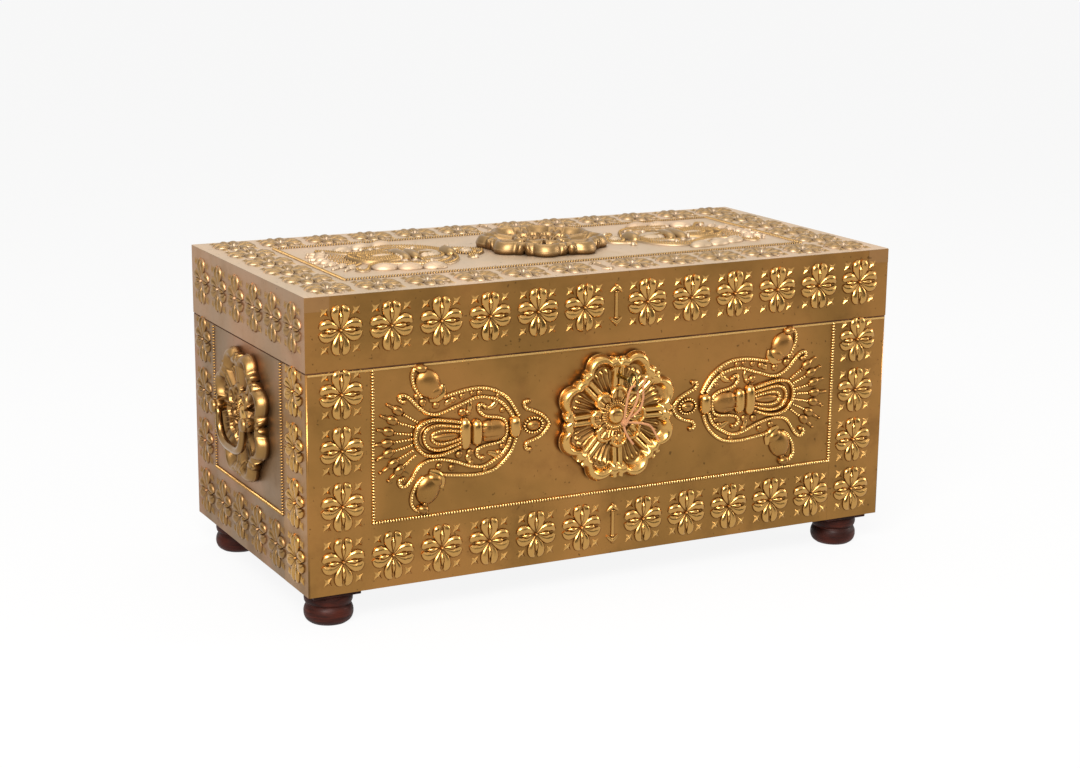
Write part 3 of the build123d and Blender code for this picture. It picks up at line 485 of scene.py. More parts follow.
def mesh_arrays(mesh):
    points = np.empty(len(mesh.vertices) * 3)
    mesh.vertices.foreach_get("co", points)
    corners = np.empty(len(mesh.loops), dtype=np.int32)
    mesh.loops.foreach_get("vertex_index", corners)
    counts = np.empty(len(mesh.polygons), dtype=np.int32)
    mesh.polygons.foreach_get("loop_total", counts)
    smooth = np.empty(len(mesh.polygons), dtype=bool)
    mesh.polygons.foreach_get("use_smooth", smooth)
    return points.reshape(-1, 3), corners, counts, smooth


def joined(name, copies, full=RELIEF_FULL):
    """One object made of copies of meshes, each (mesh, matrix); heights come from the meshes."""
    points, heights, corners, counts, smooth = [], [], [], [], []
    start = 0
    for mesh, matrix in copies:
        place, loops, totals, flags = mesh_arrays(mesh)
        turned = np.c_[place, np.ones(len(place))] @ np.array(matrix).T
        if matrix.determinant() < 0:
            loops, totals, flags = loops[::-1], totals[::-1], flags[::-1]
        points.append(turned[:, :3])
        carried = mesh.attributes.get("relief")
        if carried:
            values = np.empty(len(place))
            carried.data.foreach_get("value", values)
        else:
            values = np.clip(place[:, 2] / full, 0, 1)
        heights.append(values)
        corners.append(loops + start)
        counts.append(totals)
        smooth.append(flags)
        start += len(place)
    points, corners, counts = np.concatenate(points), np.concatenate(corners), np.concatenate(counts)
    mesh = bpy.data.meshes.new(name)
    mesh.vertices.add(len(points))
    mesh.vertices.foreach_set("co", points.ravel())
    mesh.loops.add(len(corners))
    mesh.loops.foreach_set("vertex_index", corners)
    mesh.polygons.add(len(counts))
    mesh.polygons.foreach_set("loop_start", np.concatenate(([0], np.cumsum(counts)[:-1])))
    mesh.polygons.foreach_set("use_smooth", np.concatenate(smooth))
    mesh.update(calc_edges=True)
    relief = mesh.attributes.new("relief", "FLOAT", "POINT")
    relief.data.foreach_set("value", np.concatenate(heights))
    thing = bpy.data.objects.new(name, mesh)
    bpy.context.collection.objects.link(thing)
    return thing


def with_painted_highlight(mesh, most):
    """Give a form its own relief, which may pass one; past one the finish paints it toward a pale tone, a
    painted highlight on the small beads, stars and stud ribs.
    """
    height = mesh_arrays(mesh)[0][:, 2]
    relief = mesh.attributes.new("relief", "FLOAT", "POINT")
    relief.data.foreach_set("value", np.sqrt(np.clip(height / height.max(), 0, 1)) * most)
    return mesh


def at(u, v, turn=0.0, flip=1.0):
    """A place on a face: across, up, turned in degrees and perhaps mirrored."""
    return (Matrix.Translation((u, v, 0)) @ Matrix.Rotation(math.radians(turn), 4, "Z")
            @ Matrix.Diagonal((flip, 1, 1, 1)))


def merged(copies):
    """Copies of meshes as one plain mesh, still in millimetres."""
    return take_mesh(joined("form", copies))


# %% [markdown]
# A dome is the simplest form: half a ball, cut just under the sheet and closed.  Squeezed and
# turned it makes beads, bosses and barrels.  A tapered rod along a smooth curve, pressed a little
# flat, makes lobes, buds, hooks and scrolls.

# %% Dome and tapered rod
UNDER = -0.5                 # forms go this far under the sheet's face
BEAD_PITCH = 3.9


def add_dome(segments, rings):
    deselect_all()
    bpy.ops.mesh.primitive_uv_sphere_add(segments=segments, ring_count=rings, radius=1.0)
    ball = bpy.context.object
    bpy.ops.object.mode_set(mode="EDIT")
    bpy.ops.mesh.select_all(action="SELECT")
    bpy.ops.mesh.bisect(plane_co=(0, 0, -0.12), plane_no=(0, 0, 1), clear_inner=True, use_fill=True)
    bpy.ops.object.mode_set(mode="OBJECT")
    bpy.ops.object.shade_smooth()
    return take_mesh(ball)


# The small beads get a relief past one, so the finish paints a highlight on them.
fine_dome, small_dome = add_dome(20, 12), with_painted_highlight(add_dome(8, 6), 2.0)


def dome(u, v, along, across, height, turn=0.0, mesh=None):
    """A dome squeezed to an oval, as a (mesh, matrix) copy."""
    return (mesh or fine_dome, at(u, v, turn) @ Matrix.Diagonal((along, across, height, 1)))


def rod(points, flat=0.75, sides=3):
    """A tapered rod through (across, up, radius) points, pressed flat on the sheet."""
    curve = nurbs_path("rod", [(u, v, 0.0) for u, v, _ in points], [r for _, _, r in points], 1.0, sides)
    curve.data.resolution_u = 5
    mesh = take_mesh(curve)
    mesh.transform(Matrix.Diagonal((1, 1, flat, 1)))
    for polygon in mesh.polygons:
        polygon.use_smooth = True
    return mesh, Matrix.Identity(4)


def evenly(points, pitch):
    """Places and turns at an even pitch along a smooth curve through points."""
    curve = nurbs_path("line", [(u, v, 0.0) for u, v in points], bevel=0.0)
    curve.data.resolution_u = 8
    line = curve_line(curve)
    bpy.data.objects.remove(curve)
    lengths = np.r_[0, np.cumsum([(b - a).length for a, b in zip(line, line[1:])])]
    count = max(1, round(lengths[-1] / pitch))
    marks = np.linspace(0, lengths[-1], count + 1)
    xs, ys = (np.interp(marks, lengths, [point[i] for point in line]) for i in (0, 1))
    turns = np.degrees(np.arctan2(np.gradient(ys), np.gradient(xs)))
    return list(zip(xs, ys, turns))


def beads(points, radius, pitch, height):
    """A row of small beads along a smooth curve."""
    return [dome(x, y, pitch * 0.4, radius, height, turn, small_dome)
            for x, y, turn in evenly(points, pitch)]


print("domes", len(fine_dome.polygons), len(small_dome.polygons))

# %% [markdown]
# The border tile has four petals.  Each is a pair of swelling lobes with a lens between them, and a
# four-pointed star fills each corner.  A cone with every other foot point drawn in makes the star.


# %% Border tile
TILE_LOBES = {
    "side": [(2.0, 1.2, 1.0), (7, 4.2, 3.4), (13, 7.8, 6.0), (19, 9.0, 7.6), (25.0, 6.6, 6.4),
             (28.0, 2.6, 3.2)],
    "upright": [(1.0, 3.0, 1.0), (4.0, 9, 3.4), (7.0, 16, 5.6), (7.8, 23.0, 6.6), (5.6, 29, 5.4),
                (2.4, 31, 2.6)],
}
TILE_LENSES = {
    "side": [(4.5, 0, 0.5), (8, 0, 2.0), (13, 0, 3.4), (18, 0, 3.0), (22.0, 0, 0.6)],
    "upright": [(0, 6, 0.5), (0, 10, 1.8), (0, 15, 3.0), (0, 20, 2.6), (0, 25, 0.6)],
}
LOBE_FLAT, LENS_FLAT = 0.72, 1.6       # their height against their half width
TILE_CENTRE = (2.8, 2.8, 5.0)
STAR_PLACE, STAR_ARM, STAR_HEIGHT, STAR_WAIST = (21.8, 24.6), 9.6, 3.0, 0.42


def add_star():
    deselect_all()
    bpy.ops.mesh.primitive_cone_add(vertices=8, radius1=STAR_ARM, depth=STAR_HEIGHT - UNDER,
                                    location=(0, 0, (STAR_HEIGHT + UNDER) / 2))
    star = bpy.context.object
    bpy.ops.object.transform_apply()
    for vertex in star.data.vertices:
        direction = math.degrees(math.atan2(vertex.co.y, vertex.co.x)) % 90
        if vertex.co.z < 0 and abs(direction - 45) > 5:
            vertex.co.xy *= STAR_WAIST
    return take_mesh(star)


star_form = with_painted_highlight(add_star(), 1.6)


def make_tile():
    copies = []
    for kind in ("side", "upright"):
        lobe, lens = rod(TILE_LOBES[kind], LOBE_FLAT)[0], rod(TILE_LENSES[kind], LENS_FLAT)[0]
        for end in (1, -1):
            across, up = (end, 1) if kind == "side" else (1, end)
            copies.append((lens, Matrix.Diagonal((across, up, 1, 1))))
            for half in (1, -1):
                across, up = (end, half) if kind == "side" else (half, end)
                copies.append((lobe, Matrix.Diagonal((across, up, 1, 1))))
    copies.append(dome(0, 0, *TILE_CENTRE))
    copies += [(star_form, at(x * STAR_PLACE[0], y * STAR_PLACE[1])) for x in (1, -1) for y in (1, -1)]
    return merged(copies)


tile_form = make_tile()
print("tile", len(tile_form.polygons), "faces")

# %% [markdown]
# Between the two halves of a long row stands a double arrow: a thin shaft with a barbed head and a
# bead at each end.


# %% Double arrow
def make_arrow():
    copies = [rod([(0, -18, 2.8), (0, 0, 2.4), (0, 18, 2.8)], 1.0)]
    for end in (1, -1):
        copies.append(dome(0, end * 26.0, 2.6, 3.6, 3.6))
        copies.append(dome(0, end * 18.0, 3.4, 2.4, 3.2))
        barb = rod([(0, end * 24.5, 3.4), (4.5, end * 22.0, 3.4), (9, end * 17.5, 1.6)], 1.0)
        copies += [barb, (barb[0], Matrix.Diagonal((-1, 1, 1, 1)))]
    return merged(copies)


arrow_form = make_arrow()
print("arrow", len(arrow_form.polygons), "faces")

# %% [markdown]
# ## The sheets
# A flat sheet is a thin slab with broken edges.  A corner sheet is folded: two sides of a box are
# kept, their shared edge is rounded, and the pair is given the sheet's thickness inwards.


# %% Flat and folded sheets
FOLD_RADIUS = 2.3
FLAT_AREA = 2000.0            # a folded sheet's larger faces are shaded flat


def slab(u0, u1, v0, v1, low=-SHEET, high=0.0, edge=0.25):
    deselect_all()
    bpy.ops.mesh.primitive_cube_add(size=1, location=((u0 + u1) / 2, (v0 + v1) / 2, (low + high) / 2))
    plate = bpy.context.object
    plate.scale = (abs(u1 - u0), abs(v1 - v0), high - low)
    bpy.ops.object.transform_apply(location=True, rotation=False, scale=True)
    bevel = plate.modifiers.new("broken edges", "BEVEL")
    bevel.width, bevel.segments = edge, 2
    return take_mesh(plate), Matrix.Identity(4)


def start_selecting(kind):
    """Leave edit mode with nothing selected, ready to mark faces or edges."""
    bpy.ops.object.mode_set(mode="EDIT")
    bpy.ops.mesh.select_mode(type=kind)
    bpy.ops.mesh.select_all(action="DESELECT")
    bpy.ops.object.mode_set(mode="OBJECT")


def folded(side, inset, depth, v0, v1):
    """A sheet folded round a vertical edge, drawn in the long face's frame."""
    edge = side * half_width
    deselect_all()
    bpy.ops.mesh.primitive_cube_add(size=1, location=(edge - side * inset / 2, (v0 + v1) / 2, -depth / 2))
    box = bpy.context.object
    box.scale = (inset, v1 - v0, depth)
    bpy.ops.object.transform_apply(location=True, rotation=False, scale=True)
    mesh = box.data
    start_selecting("FACE")
    for polygon in mesh.polygons:
        polygon.select = not (polygon.normal.z > 0.5 or polygon.normal.x * side > 0.5)
    bpy.ops.object.mode_set(mode="EDIT")
    bpy.ops.mesh.delete(type="FACE")
    start_selecting("EDGE")
    for line in mesh.edges:
        ends = [mesh.vertices[i].co for i in line.vertices]
        line.select = all(abs(co.x - edge) < 0.01 and abs(co.z) < 0.01 for co in ends)
    bpy.ops.object.mode_set(mode="EDIT")
    bpy.ops.mesh.bevel(offset=FOLD_RADIUS, segments=5, affect="EDGES")
    bpy.ops.object.mode_set(mode="OBJECT")
    thick = box.modifiers.new("thickness", "SOLIDIFY")
    thick.thickness, thick.offset = SHEET, -1.0
    bpy.ops.object.shade_smooth_by_angle(angle=math.radians(30))
    for polygon in mesh.polygons:
        polygon.use_smooth = polygon.area < FLAT_AREA
    return take_mesh(box), Matrix.Identity(4)


def finish_piece(thing, body, material, nodes):
    """Give a piece its finish, its body and the CAD nodes it stands for."""
    thing.data.materials.append(material)
    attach(thing, body)
    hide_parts(*nodes)
    print(thing.name, len(thing.data.polygons), "faces")
    return thing


def on_face(face, copies):
    return [(mesh, FACES[face] @ matrix) for mesh, matrix in copies]


# %% [markdown]
# The beaded frame is one close row of beads.  It runs round the field of each side, just inside the
# edge of the centre sheet, and all the way round the field of the lid.

# %% Beaded frame
FRAME_PITCH = 4.0
FRAME_INSET_U, FRAME_INSET_V = 89.0, 86.0
BOTTOM_STRIP = 88.0
FRAME_EDGE = 2.5             # middle of the beads inside the sheet's edge


def bead_run(start, end):
    (u0, v0), (u1, v1) = start, end
    length = math.hypot(u1 - u0, v1 - v0)
    count = round(length / FRAME_PITCH)
    turn = 90 if abs(u1 - u0) < abs(v1 - v0) else 0
    return [dome(u0 + (u1 - u0) * i / count, v0 + (v1 - v0) * i / count, 1.6, 2.8, 3.4, turn, small_dome)
            for i in range(count + 1)]


def bead_frame(half, low, high, top_too):
    u, v0, v1 = half - FRAME_EDGE, low + FRAME_EDGE, high - FRAME_EDGE
    copies = bead_run((-u, v0), (u, v0)) + bead_run((-u, v0), (-u, v1)) + bead_run((u, v0), (u, v1))
    if top_too:
        copies += bead_run((-u, v1), (u, v1))
    return copies


# %% [markdown]
# The tiles stand in rows and columns.  Their places follow the chest's size: the end tiles keep
# their distance from the edges, and the others are spaced evenly between them.

# %% Places of the tiles
TILE_END_U, TILE_END_V = 48.7, 43.0
TILE_BOTTOM, TILE_HALF, TILE_RIM_GAP, TILE_LID_RISE = 43.0, 29.0, 1.0, 54.0
SEPARATOR_HALF = 13.5
row_pitch = (half_width - TILE_END_U - SEPARATOR_HALF) / 5.5
row_places = [side * (half_width - TILE_END_U - i * row_pitch) for side in (-1, 1) for i in range(6)]
side_pitch = (2 * half_depth - 2 * TILE_END_V) / 5
side_places = [-half_depth + TILE_END_V + i * side_pitch for i in range(6)]
column_pitch = (rim - base_bottom - TILE_BOTTOM - TILE_HALF - TILE_RIM_GAP) / 3
column_places = [base_bottom + TILE_BOTTOM + i * column_pitch for i in range(4)]
inner_row = [u for u in row_places if abs(u) < half_width - FRAME_INSET_U]
inner_side = side_places[1:-1]
bottom_tile_z, lid_tile_z = column_places[0], lid_bottom + TILE_LID_RISE


def tiles(places, turn=0.0):
    return [(tile_form, at(u, v, turn)) for u, v in places]


print("tile pitches", round(row_pitch, 2), round(side_pitch, 2), round(column_pitch, 2))

# %% [markdown]
# Corner sheets first: each wraps a vertical edge, with a column of tiles on both legs.

# %% Corner sheets
def add_corner_sheet(name, long_face, long_side, short_face, short_side, material):
    copies = on_face(long_face, [folded(long_side, FRAME_INSET_U, FRAME_INSET_V, base_bottom, rim)])
    copies += on_face(long_face, tiles([(long_side * (half_width - TILE_END_U), z)
                                        for z in column_places]))
    copies += on_face(short_face, tiles([(short_side * (half_depth - TILE_END_V), z)
                                         for z in column_places]))
    finish_piece(joined(name + "_brass", copies), "chest", material, [name])


add_corner_sheet("corner_sheet_front_left", "front", -1, "left", 1, front_brass)
add_corner_sheet("corner_sheet_front_right", "front", 1, "right", -1, front_brass)
add_corner_sheet("corner_sheet_rear_left", "back", 1, "left", -1, side_brass)
add_corner_sheet("corner_sheet_rear_right", "back", -1, "right", 1, side_brass)

# %% [markdown]
# Bottom strips and the strips round the lid are plain slabs with a row of tiles, and the long ones
# carry a double arrow in the middle.


# %% Strips
def add_strip(name, face, corners, places, arrow_at, body, material, turn=0.0):
    copies = [slab(*corners)] + tiles(places, turn)
    if arrow_at is not None:
        copies.append((arrow_form, at(0, arrow_at)))
    finish_piece(joined(name + "_brass", on_face(face, copies)), body, material, [name])


LID_LIFT = 1.4               # the lid's sheets end a little above its wooden edge
low_z, high_z = base_bottom, base_bottom + BOTTOM_STRIP
for face, finish in (("front", front_brass), ("back", side_brass)):
    half = half_width - FRAME_INSET_U
    add_strip(face + "_bottom_strip", face, (-half, half, low_z, high_z),
              [(u, bottom_tile_z) for u in inner_row], bottom_tile_z, "chest", finish)
    add_strip(f"lid_{face}_strip", face, (-half_width, half_width, lid_bottom + LID_LIFT, lid_top - SHEET),
              [(u, lid_tile_z) for u in row_places], lid_tile_z, "lid", finish)
for face in ("left", "right"):
    half = half_depth - FRAME_INSET_V
    add_strip(face + "_bottom_strip", face, (-half, half, low_z, high_z),
              [(u, bottom_tile_z) for u in inner_side], None, "chest", side_brass)
    add_strip(f"lid_{face}_strip", face,
              (SHEET - half_depth, half_depth - SHEET, lid_bottom + LID_LIFT, lid_top - SHEET),
              [(u, lid_tile_z) for u in side_places], None, "lid", lid_side_brass)
for name, side in (("front", -1), ("back", 1)):
    v0, v1 = sorted((side * (half_depth - FRAME_INSET_V), side * half_depth))
    v = side * (half_depth - TILE_END_V)
    add_strip(f"lid_top_{name}_strip", "top", (-half_width, half_width, v0, v1),
              [(u, v) for u in row_places], v, "lid", lid_brass)
for name, side in (("left", -1), ("right", 1)):
    u0, u1 = sorted((side * (half_width - FRAME_INSET_U), side * half_width))
    half = half_depth - FRAME_INSET_V
    add_strip(f"lid_top_{name}_strip", "top", (u0, u1, -half, half),
              [(side * (half_width - TILE_END_U), y) for y in inner_side], None, "lid", lid_brass, 90)

# %% [markdown]
# At each front corner of the lid the side's sheet laps round on to the front, and is dull with age.

# %% Laps
LAP_WIDTH, LAP_HEIGHT, LAP_THICKNESS = 34.0, 19.0, 0.4
laps = [slab(*sorted((side * half_width, side * (half_width - LAP_WIDTH))), lid_top - SHEET - LAP_HEIGHT,
             lid_top - SHEET, 0.0, LAP_THICKNESS) for side in (-1, 1)]
finish_piece(joined("lid_front_laps_brass", on_face("front", laps)), "lid", lap_brass,
             ["lid_front_strip"])

# %% [markdown]
# The front's and the back's sheets are rolled over at the rim of the base.  The front's roll is painted
# paler, a painted highlight along the rim, under the lid's dark gap.

# %% Rolled rim
RIM_ROLL = 1.7


def add_rim_roll(face, material):
    sheet_name = face + "_centre_sheet"
    z, end = rim - RIM_ROLL, half_width - FOLD_RADIUS
    roll = rod([(-end, z, RIM_ROLL), (0, z, RIM_ROLL), (end, z, RIM_ROLL)], 1.0, 3)
    finish_piece(joined(sheet_name + "_rim_roll", on_face(face, [roll])), "chest", material,
                 [sheet_name])


add_rim_roll("front", rim_highlight_brass)
add_rim_roll("back", side_brass)

# %% [markdown]
# ## The palmette ornament
# On each side of the front rosette lies a long stamped ornament.  Beaded strings make its lyres and
# arches, tapered rods its buds and hooks, and domes its bosses, pearls and birds.  It is drawn once,
# outwards from the rosette, and mirrored for the other side.

# %% Ornament lines, in millimetres outwards and upwards from the rosette's edge
STRINGS = [
    [(2.5, -1), (6.5, 7), (15.8, 14), (27, 19.5), (38, 23), (41.5, 28.5), (39.5, 34), (34.5, 33)],
    [(2.5, -1), (6.3, -9), (13.6, -16), (24.6, -20.5), (35.5, -23), (39, -28.5), (37, -34), (32, -33.5)],
    [(66.5, 0), (67.5, 9), (77.5, 16), (92, 17.5), (102.5, 21), (109, 27.5), (109, 35), (103.5, 37),
     (99, 32)],
    [(66.5, 0), (67.5, -12), (74, -18), (84.5, -19.5), (99, -20.5), (109.5, -24), (112, -30), (108.5, -37),
     (102, -37)],
    [(137, 16), (155.5, 20), (173, 23), (188.5, 21.5), (197.5, 15.5), (201.8, 6), (201.2, -7), (195.7, -17),
     (185.5, -24.5), (170, -26.5), (154, -24.5), (137, -18)],
    [(137, 9.5), (155.5, 13.5), (173, 15.5), (185.5, 11.5), (190, 2), (187.5, -9.5), (178.5, -17), (166, -19),
     (152, -17), (137, -12)],
    [(137, 3.5), (155.5, 7), (169.5, 7.5), (177.5, 3), (178.4, -3.6), (173, -9), (159, -11.5), (137, -7)],
    [(49.5, 16), (57.8, 31), (68.7, 44), (86.6, 55), (104.5, 59), (122, 58.5), (139.7, 56), (157.2, 52)],
    [(58.5, 16), (65, 26), (77.6, 39), (92, 44.6), (109.7, 47), (122, 43.6), (134.5, 39), (146.7, 35.6),
     (159, 31), (172, 28.5), (183.4, 32), (192, 38), (199, 44.3), (205.7, 52), (212.6, 58.7), (220.3, 60.3),
     (223.7, 55.8), (220.8, 51.5), (216, 50.5)],
    [(52.9, -16), (57.3, -30), (68, -44), (82.5, -55), (98.6, -59), (118, -59.5), (138, -57), (160.8, -54)],
    [(61.9, -14), (64.6, -26), (75.3, -36.5), (88, -44), (100.5, -49.5), (114.8, -48.5), (129, -43.5),
     (141.4, -38), (155.5, -34), (169.6, -31.5), (181.8, -32), (192.3, -36.5), (200, -45), (206.2, -56),
     (213.2, -63), (220, -64), (224.4, -58.5), (222.6, -53), (217.5, -53)],
]
BUDS = [((198, 22.3), (217, 34), (229.8, 43.6), (239, 49)), ((203, 15.6), (225, 24), (237.5, 30), (248, 35)),
        ((206, 6), (230, 10), (243.6, 15), (253, 17)), ((206, -0.5), (231, -2), (246.3, -2.4), (259, -2.6)),
        ((206, -8.6), (231, -14), (243, -17), (254, -23)), ((204, -16), (225, -26), (235.4, -33), (250, -41)),
        ((200, -23), (217, -35.5), (227, -43), (238.5, -53))]
PEARLS = [(73, 25, 3.4), (107, 52, 3.4), (79.4, 45.5, 3), (132.7, 50, 3.4), (189.4, 47.4, 4.4),
          (170.3, 41.5, 4.2), (197.5, 56, 3.6), (132.7, 28.3, 4.6), (118, 52.5, 2.6), (73.6, -24.6, 3.4),
          (137, -28.9, 4.4), (166, -41.5, 3.8), (147.6, -45.5, 3.8), (98.7, -54, 3), (121, -27.5, 4)]
COMMAS = [((96, 29), (88, 31), (82, 36.5), (84, 41)), ((157, 40), (153, 44), (146, 47)),
          ((122, 43), (121, 34), (124, 27)), ((95, -31), (88, -33), (81, -37), (79, -33)),
          ((122, -29), (124, -35), (120, -42))]
BARRELS = [(111.6, -1, 9.6, 18.0), (128.8, -1, 9.8, 22.0), (54.8, 0.5, 10.0, 15.0)]
BIRD_EDGES = [
    [(192, 55), (199.7, 64.7), (203.9, 76.4), (204.7, 86), (201.5, 93), (195.5, 95), (189, 92)],
    [(188.8, -54), (199.3, -62.7), (205.5, -75.2), (207, -88), (201.2, -97), (192.5, -100), (186.3, -96),
     (187.2, -91)],
]
BIRD_BODIES = [((182, 72), (20.5, 18), 62, (192, 93)), ((182, -71), (22, 17.5), -66, (190, -97))]
BIRD_WINGS = [((160, 68), (161.5, 58), (168, 51.5), (180, 49.5)),
              ((180, -47), (169.6, -51.5), (162.6, -60.6), (162, -71))]
PODS = [(117, 93, -6), (151, 87, -14), (184, 76, -26)]
BOSS = (26.6, -0.6, 13.8, 10.4)

# %% Sizes of the ornament's forms, in millimetres
STRING_HEIGHT, STRING_HALF = 5.0, 3.1
ARCHES = (4, 5, 6)            # these strings are the nested arches, which stand higher
ARCH_HEIGHT = 8.0
END_KNOB = 4.0
AXIS_V = -1                   # the ornament's middle line, up from the rosette's middle
# The swells on the middle line: outwards, up, half lengths along and across, height, and whether
# the swell widens with the lid's ornament.
SWELLS = [(158, AXIS_V, 38, 24, 3.6, True), (157, -2, 22, 6.6, 7.4, False),
          (86, AXIS_V, 20, 15.5, 8.4, True), (95, AXIS_V, 12, 15.5, 8.6, True)]
COLLAR_RIBS, COLLAR_RIB_HEIGHT = [(68, 4, 0.5), (84, 8.5, 1.0), (104, 8, 1.0)], 9.2
# Half along, half across and height of the small domes.
BUD_COLLAR, BUD_BULB, BUD_TIP, BUD_KNOB = (1.6, 3.4, 4.2), (9.0, 6.6, 5.6), (7.5, 2.8, 4.2), (2.6, 2.6, 3.8)
BUD_STEM, BULB_AT, TIP_AT = 1.8, 0.62, 0.45
PEARL_ACROSS, PEARL_HEIGHT = 1.3, 1.05
COMMA_HALF, COMMA_HEAD = 4.6, (4.8, 4.8, 4.4)
BIRD_HEIGHT, BIRD_BREAST, BIRD_HEAD, BIRD_WING_HALF = 8.8, (13, 10, 8.4), (9.5, 6.6, 8.8), 7.6
POD = (18, 12, 8.6)


# %% Make the ornament
def swollen(points, radius):
    """A rod that swells to a radius in its middle and narrows to both ends."""
    last = len(points) - 1
    return rod([(u, v, radius * (0.5 + 0.5 * math.sin(math.pi * i / last)))
                for i, (u, v) in enumerate(points)])


def oval(u, v, along, across):
    turns = [2 * math.pi * i / 16 for i in range(17)]
    return [(u + along * math.cos(turn), v + across * math.sin(turn)) for turn in turns]


def thickened(points):
    """The points with even ones put between, so that a rod keeps its swelling."""
    return [p for a, b in zip(points, points[1:])
            for p in (a, tuple((x + y) / 2 for x, y in zip(a, b)))] + [points[-1]]


def beaded_string(points, spread=1.0, height=STRING_HEIGHT):
    """A round string with a row of beads on its back."""
    points = [(u, v * spread) for u, v in points]
    ridge = [(u, v, STRING_HALF) for u, v in points]
    return ([rod(ridge, (height - 1.4) / STRING_HALF, 2), dome(*points[-1], END_KNOB, END_KNOB, height)]
            + beads(points, STRING_HALF * 0.9, BEAD_PITCH, height))


def barrel(u, v, half_along, half_up):
    """A fat upright roll with round ends, a little higher than half a circle."""
    ends = [(half_up, 0.35), (half_up * 0.86, 0.86), (0.0, 1.0), (-half_up * 0.86, 0.86), (-half_up, 0.35)]
    return rod([(u, v + y, half_along * share) for y, share in ends], 1.15)


def make_ornament(spread, with_birds):
    """One ornament; the lid's is spread wider and has pods in place of the birds."""
    copies = []
    for number, string in enumerate(STRINGS):
        copies += beaded_string(string, spread, ARCH_HEIGHT if number in ARCHES else STRING_HEIGHT)
    for bud in BUDS:
        root, neck, middle, end = [Vector((u, v * spread)) for u, v in bud]
        turn = math.degrees(math.atan2(end[1] - neck[1], end[0] - neck[0]))
        copies.append(rod([(*root, BUD_STEM), (*neck, BUD_STEM)], 0.9, 2))
        copies += beads([root, neck], 2.3, BEAD_PITCH, 3.6)
        copies += [dome(*neck, *BUD_COLLAR, turn), dome(*neck.lerp(middle, BULB_AT), *BUD_BULB, turn),
                   dome(*middle.lerp(end, TIP_AT), *BUD_TIP, turn), dome(*end, *BUD_KNOB)]
    copies += [dome(u, v * spread, size * PEARL_ACROSS, size * PEARL_ACROSS, size * PEARL_HEIGHT)
               for u, v, size in PEARLS]
    for points in COMMAS:
        hook = [(u, v * spread) for u, v in points]
        copies += [swollen(thickened(hook), COMMA_HALF), dome(*hook[-1], *COMMA_HEAD)]
    copies += [barrel(u, v * spread, along, up * spread) for u, v, along, up in BARRELS]
    copies += [dome(u, v, along, across * (spread if widens else 1.0), height)
               for u, v, along, across, height, widens in SWELLS]
    copies += [rod([(u, AXIS_V + v * way * spread, radius) for u, v, radius in COLLAR_RIBS],
                   COLLAR_RIB_HEIGHT, 2) for way in (-1, 0, 1)]
    u, v, along, across = BOSS
    copies += beads(oval(u, v, along, across * spread), 2.7, BEAD_PITCH, 4.6)
    copies.append(dome(u, v, along - 3.0, (across - 3.0) * spread, 6.5))
    copies.append(dome(u, v, along - 5.0, 1.6, 8.0))
    if with_birds:
        for edge in BIRD_EDGES:
            copies += beaded_string(edge)
        for (u, v), (along, across), turn, head in BIRD_BODIES:
            copies.append(dome(u, v, along, across, BIRD_HEIGHT, turn))
            copies.append(dome(u - 9, v * 0.84, *BIRD_BREAST, -turn / 2))
            copies.append(dome(*head, *BIRD_HEAD, 12))
        copies += [swollen(thickened(points), BIRD_WING_HALF) for points in BIRD_WINGS]
    else:
        copies += [dome(u, way * v, *POD, way * turn) for u, v, turn in PODS for way in (1, -1)]
    return merged(copies)


LID_SPREAD, ORNAMENT_ASIDE = 1.35, -4.5
front_ornament, lid_ornament = make_ornament(1.0, True), make_ornament(LID_SPREAD, False)
ROSETTE_DROP, ORNAMENT_START = 99.0, 94.0
rosette_z = rim - ROSETTE_DROP
print("ornaments", len(front_ornament.polygons), len(lid_ornament.polygons), "faces")


# %% [markdown]
# The centre sheets carry the beaded frame and, on the front and the lid, the pair of ornaments.

# %% Centre sheets
def add_centre_sheet(name, face, half, low, high, body, material, ornament=None, ornament_at=(0.0, 0.0)):
    copies = [slab(-half, half, low, high)] + bead_frame(half, low, high, name.startswith("lid"))
    if ornament:
        u, v = ornament_at
        copies += [(ornament, at(u + side * ORNAMENT_START, v, 0, side)) for side in (1, -1)]
    finish_piece(joined(name + "_brass", on_face(face, copies)), body, material, [name])


long_half, short_half = half_width - FRAME_INSET_U, half_depth - FRAME_INSET_V
field_low = base_bottom + BOTTOM_STRIP
add_centre_sheet("front_centre_sheet", "front", long_half, field_low, rim, "chest", front_brass,
                 front_ornament, (ORNAMENT_ASIDE, rosette_z))
add_centre_sheet("back_centre_sheet", "back", long_half, field_low, rim, "chest", side_brass)
add_centre_sheet("left_centre_sheet", "left", short_half, field_low, rim, "chest", side_brass)
add_centre_sheet("right_centre_sheet", "right", short_half, field_low, rim, "chest", side_brass)
add_centre_sheet("lid_top_centre_sheet", "top", long_half, -short_half, short_half, "lid", lid_brass,
                 lid_ornament)

# %% [markdown]
# ## Rosettes
# A rosette is beaten from thick sheet.  A petal is a grid bent into a fan: its height rises to a
# fat rolled border with three lobes, and ribs run up the hollow.  The rim is drawn down and in to
# the sheet, so each petal casts a shadow under itself.


# %% Petals
def lobe_reach(angle, lobes):
    """How far the outline of some circles lies from the rosette's middle in a direction."""
    reach = np.zeros_like(angle)
    for along, across, radius in lobes:
        aside = along * np.sin(angle) - across * np.cos(angle)
        inside = np.clip(radius ** 2 - aside ** 2, 0, None)
        far = along * np.cos(angle) + across * np.sin(angle) + np.sqrt(inside)
        reach = np.maximum(reach, np.where(inside > 0, far, 0))
    return reach


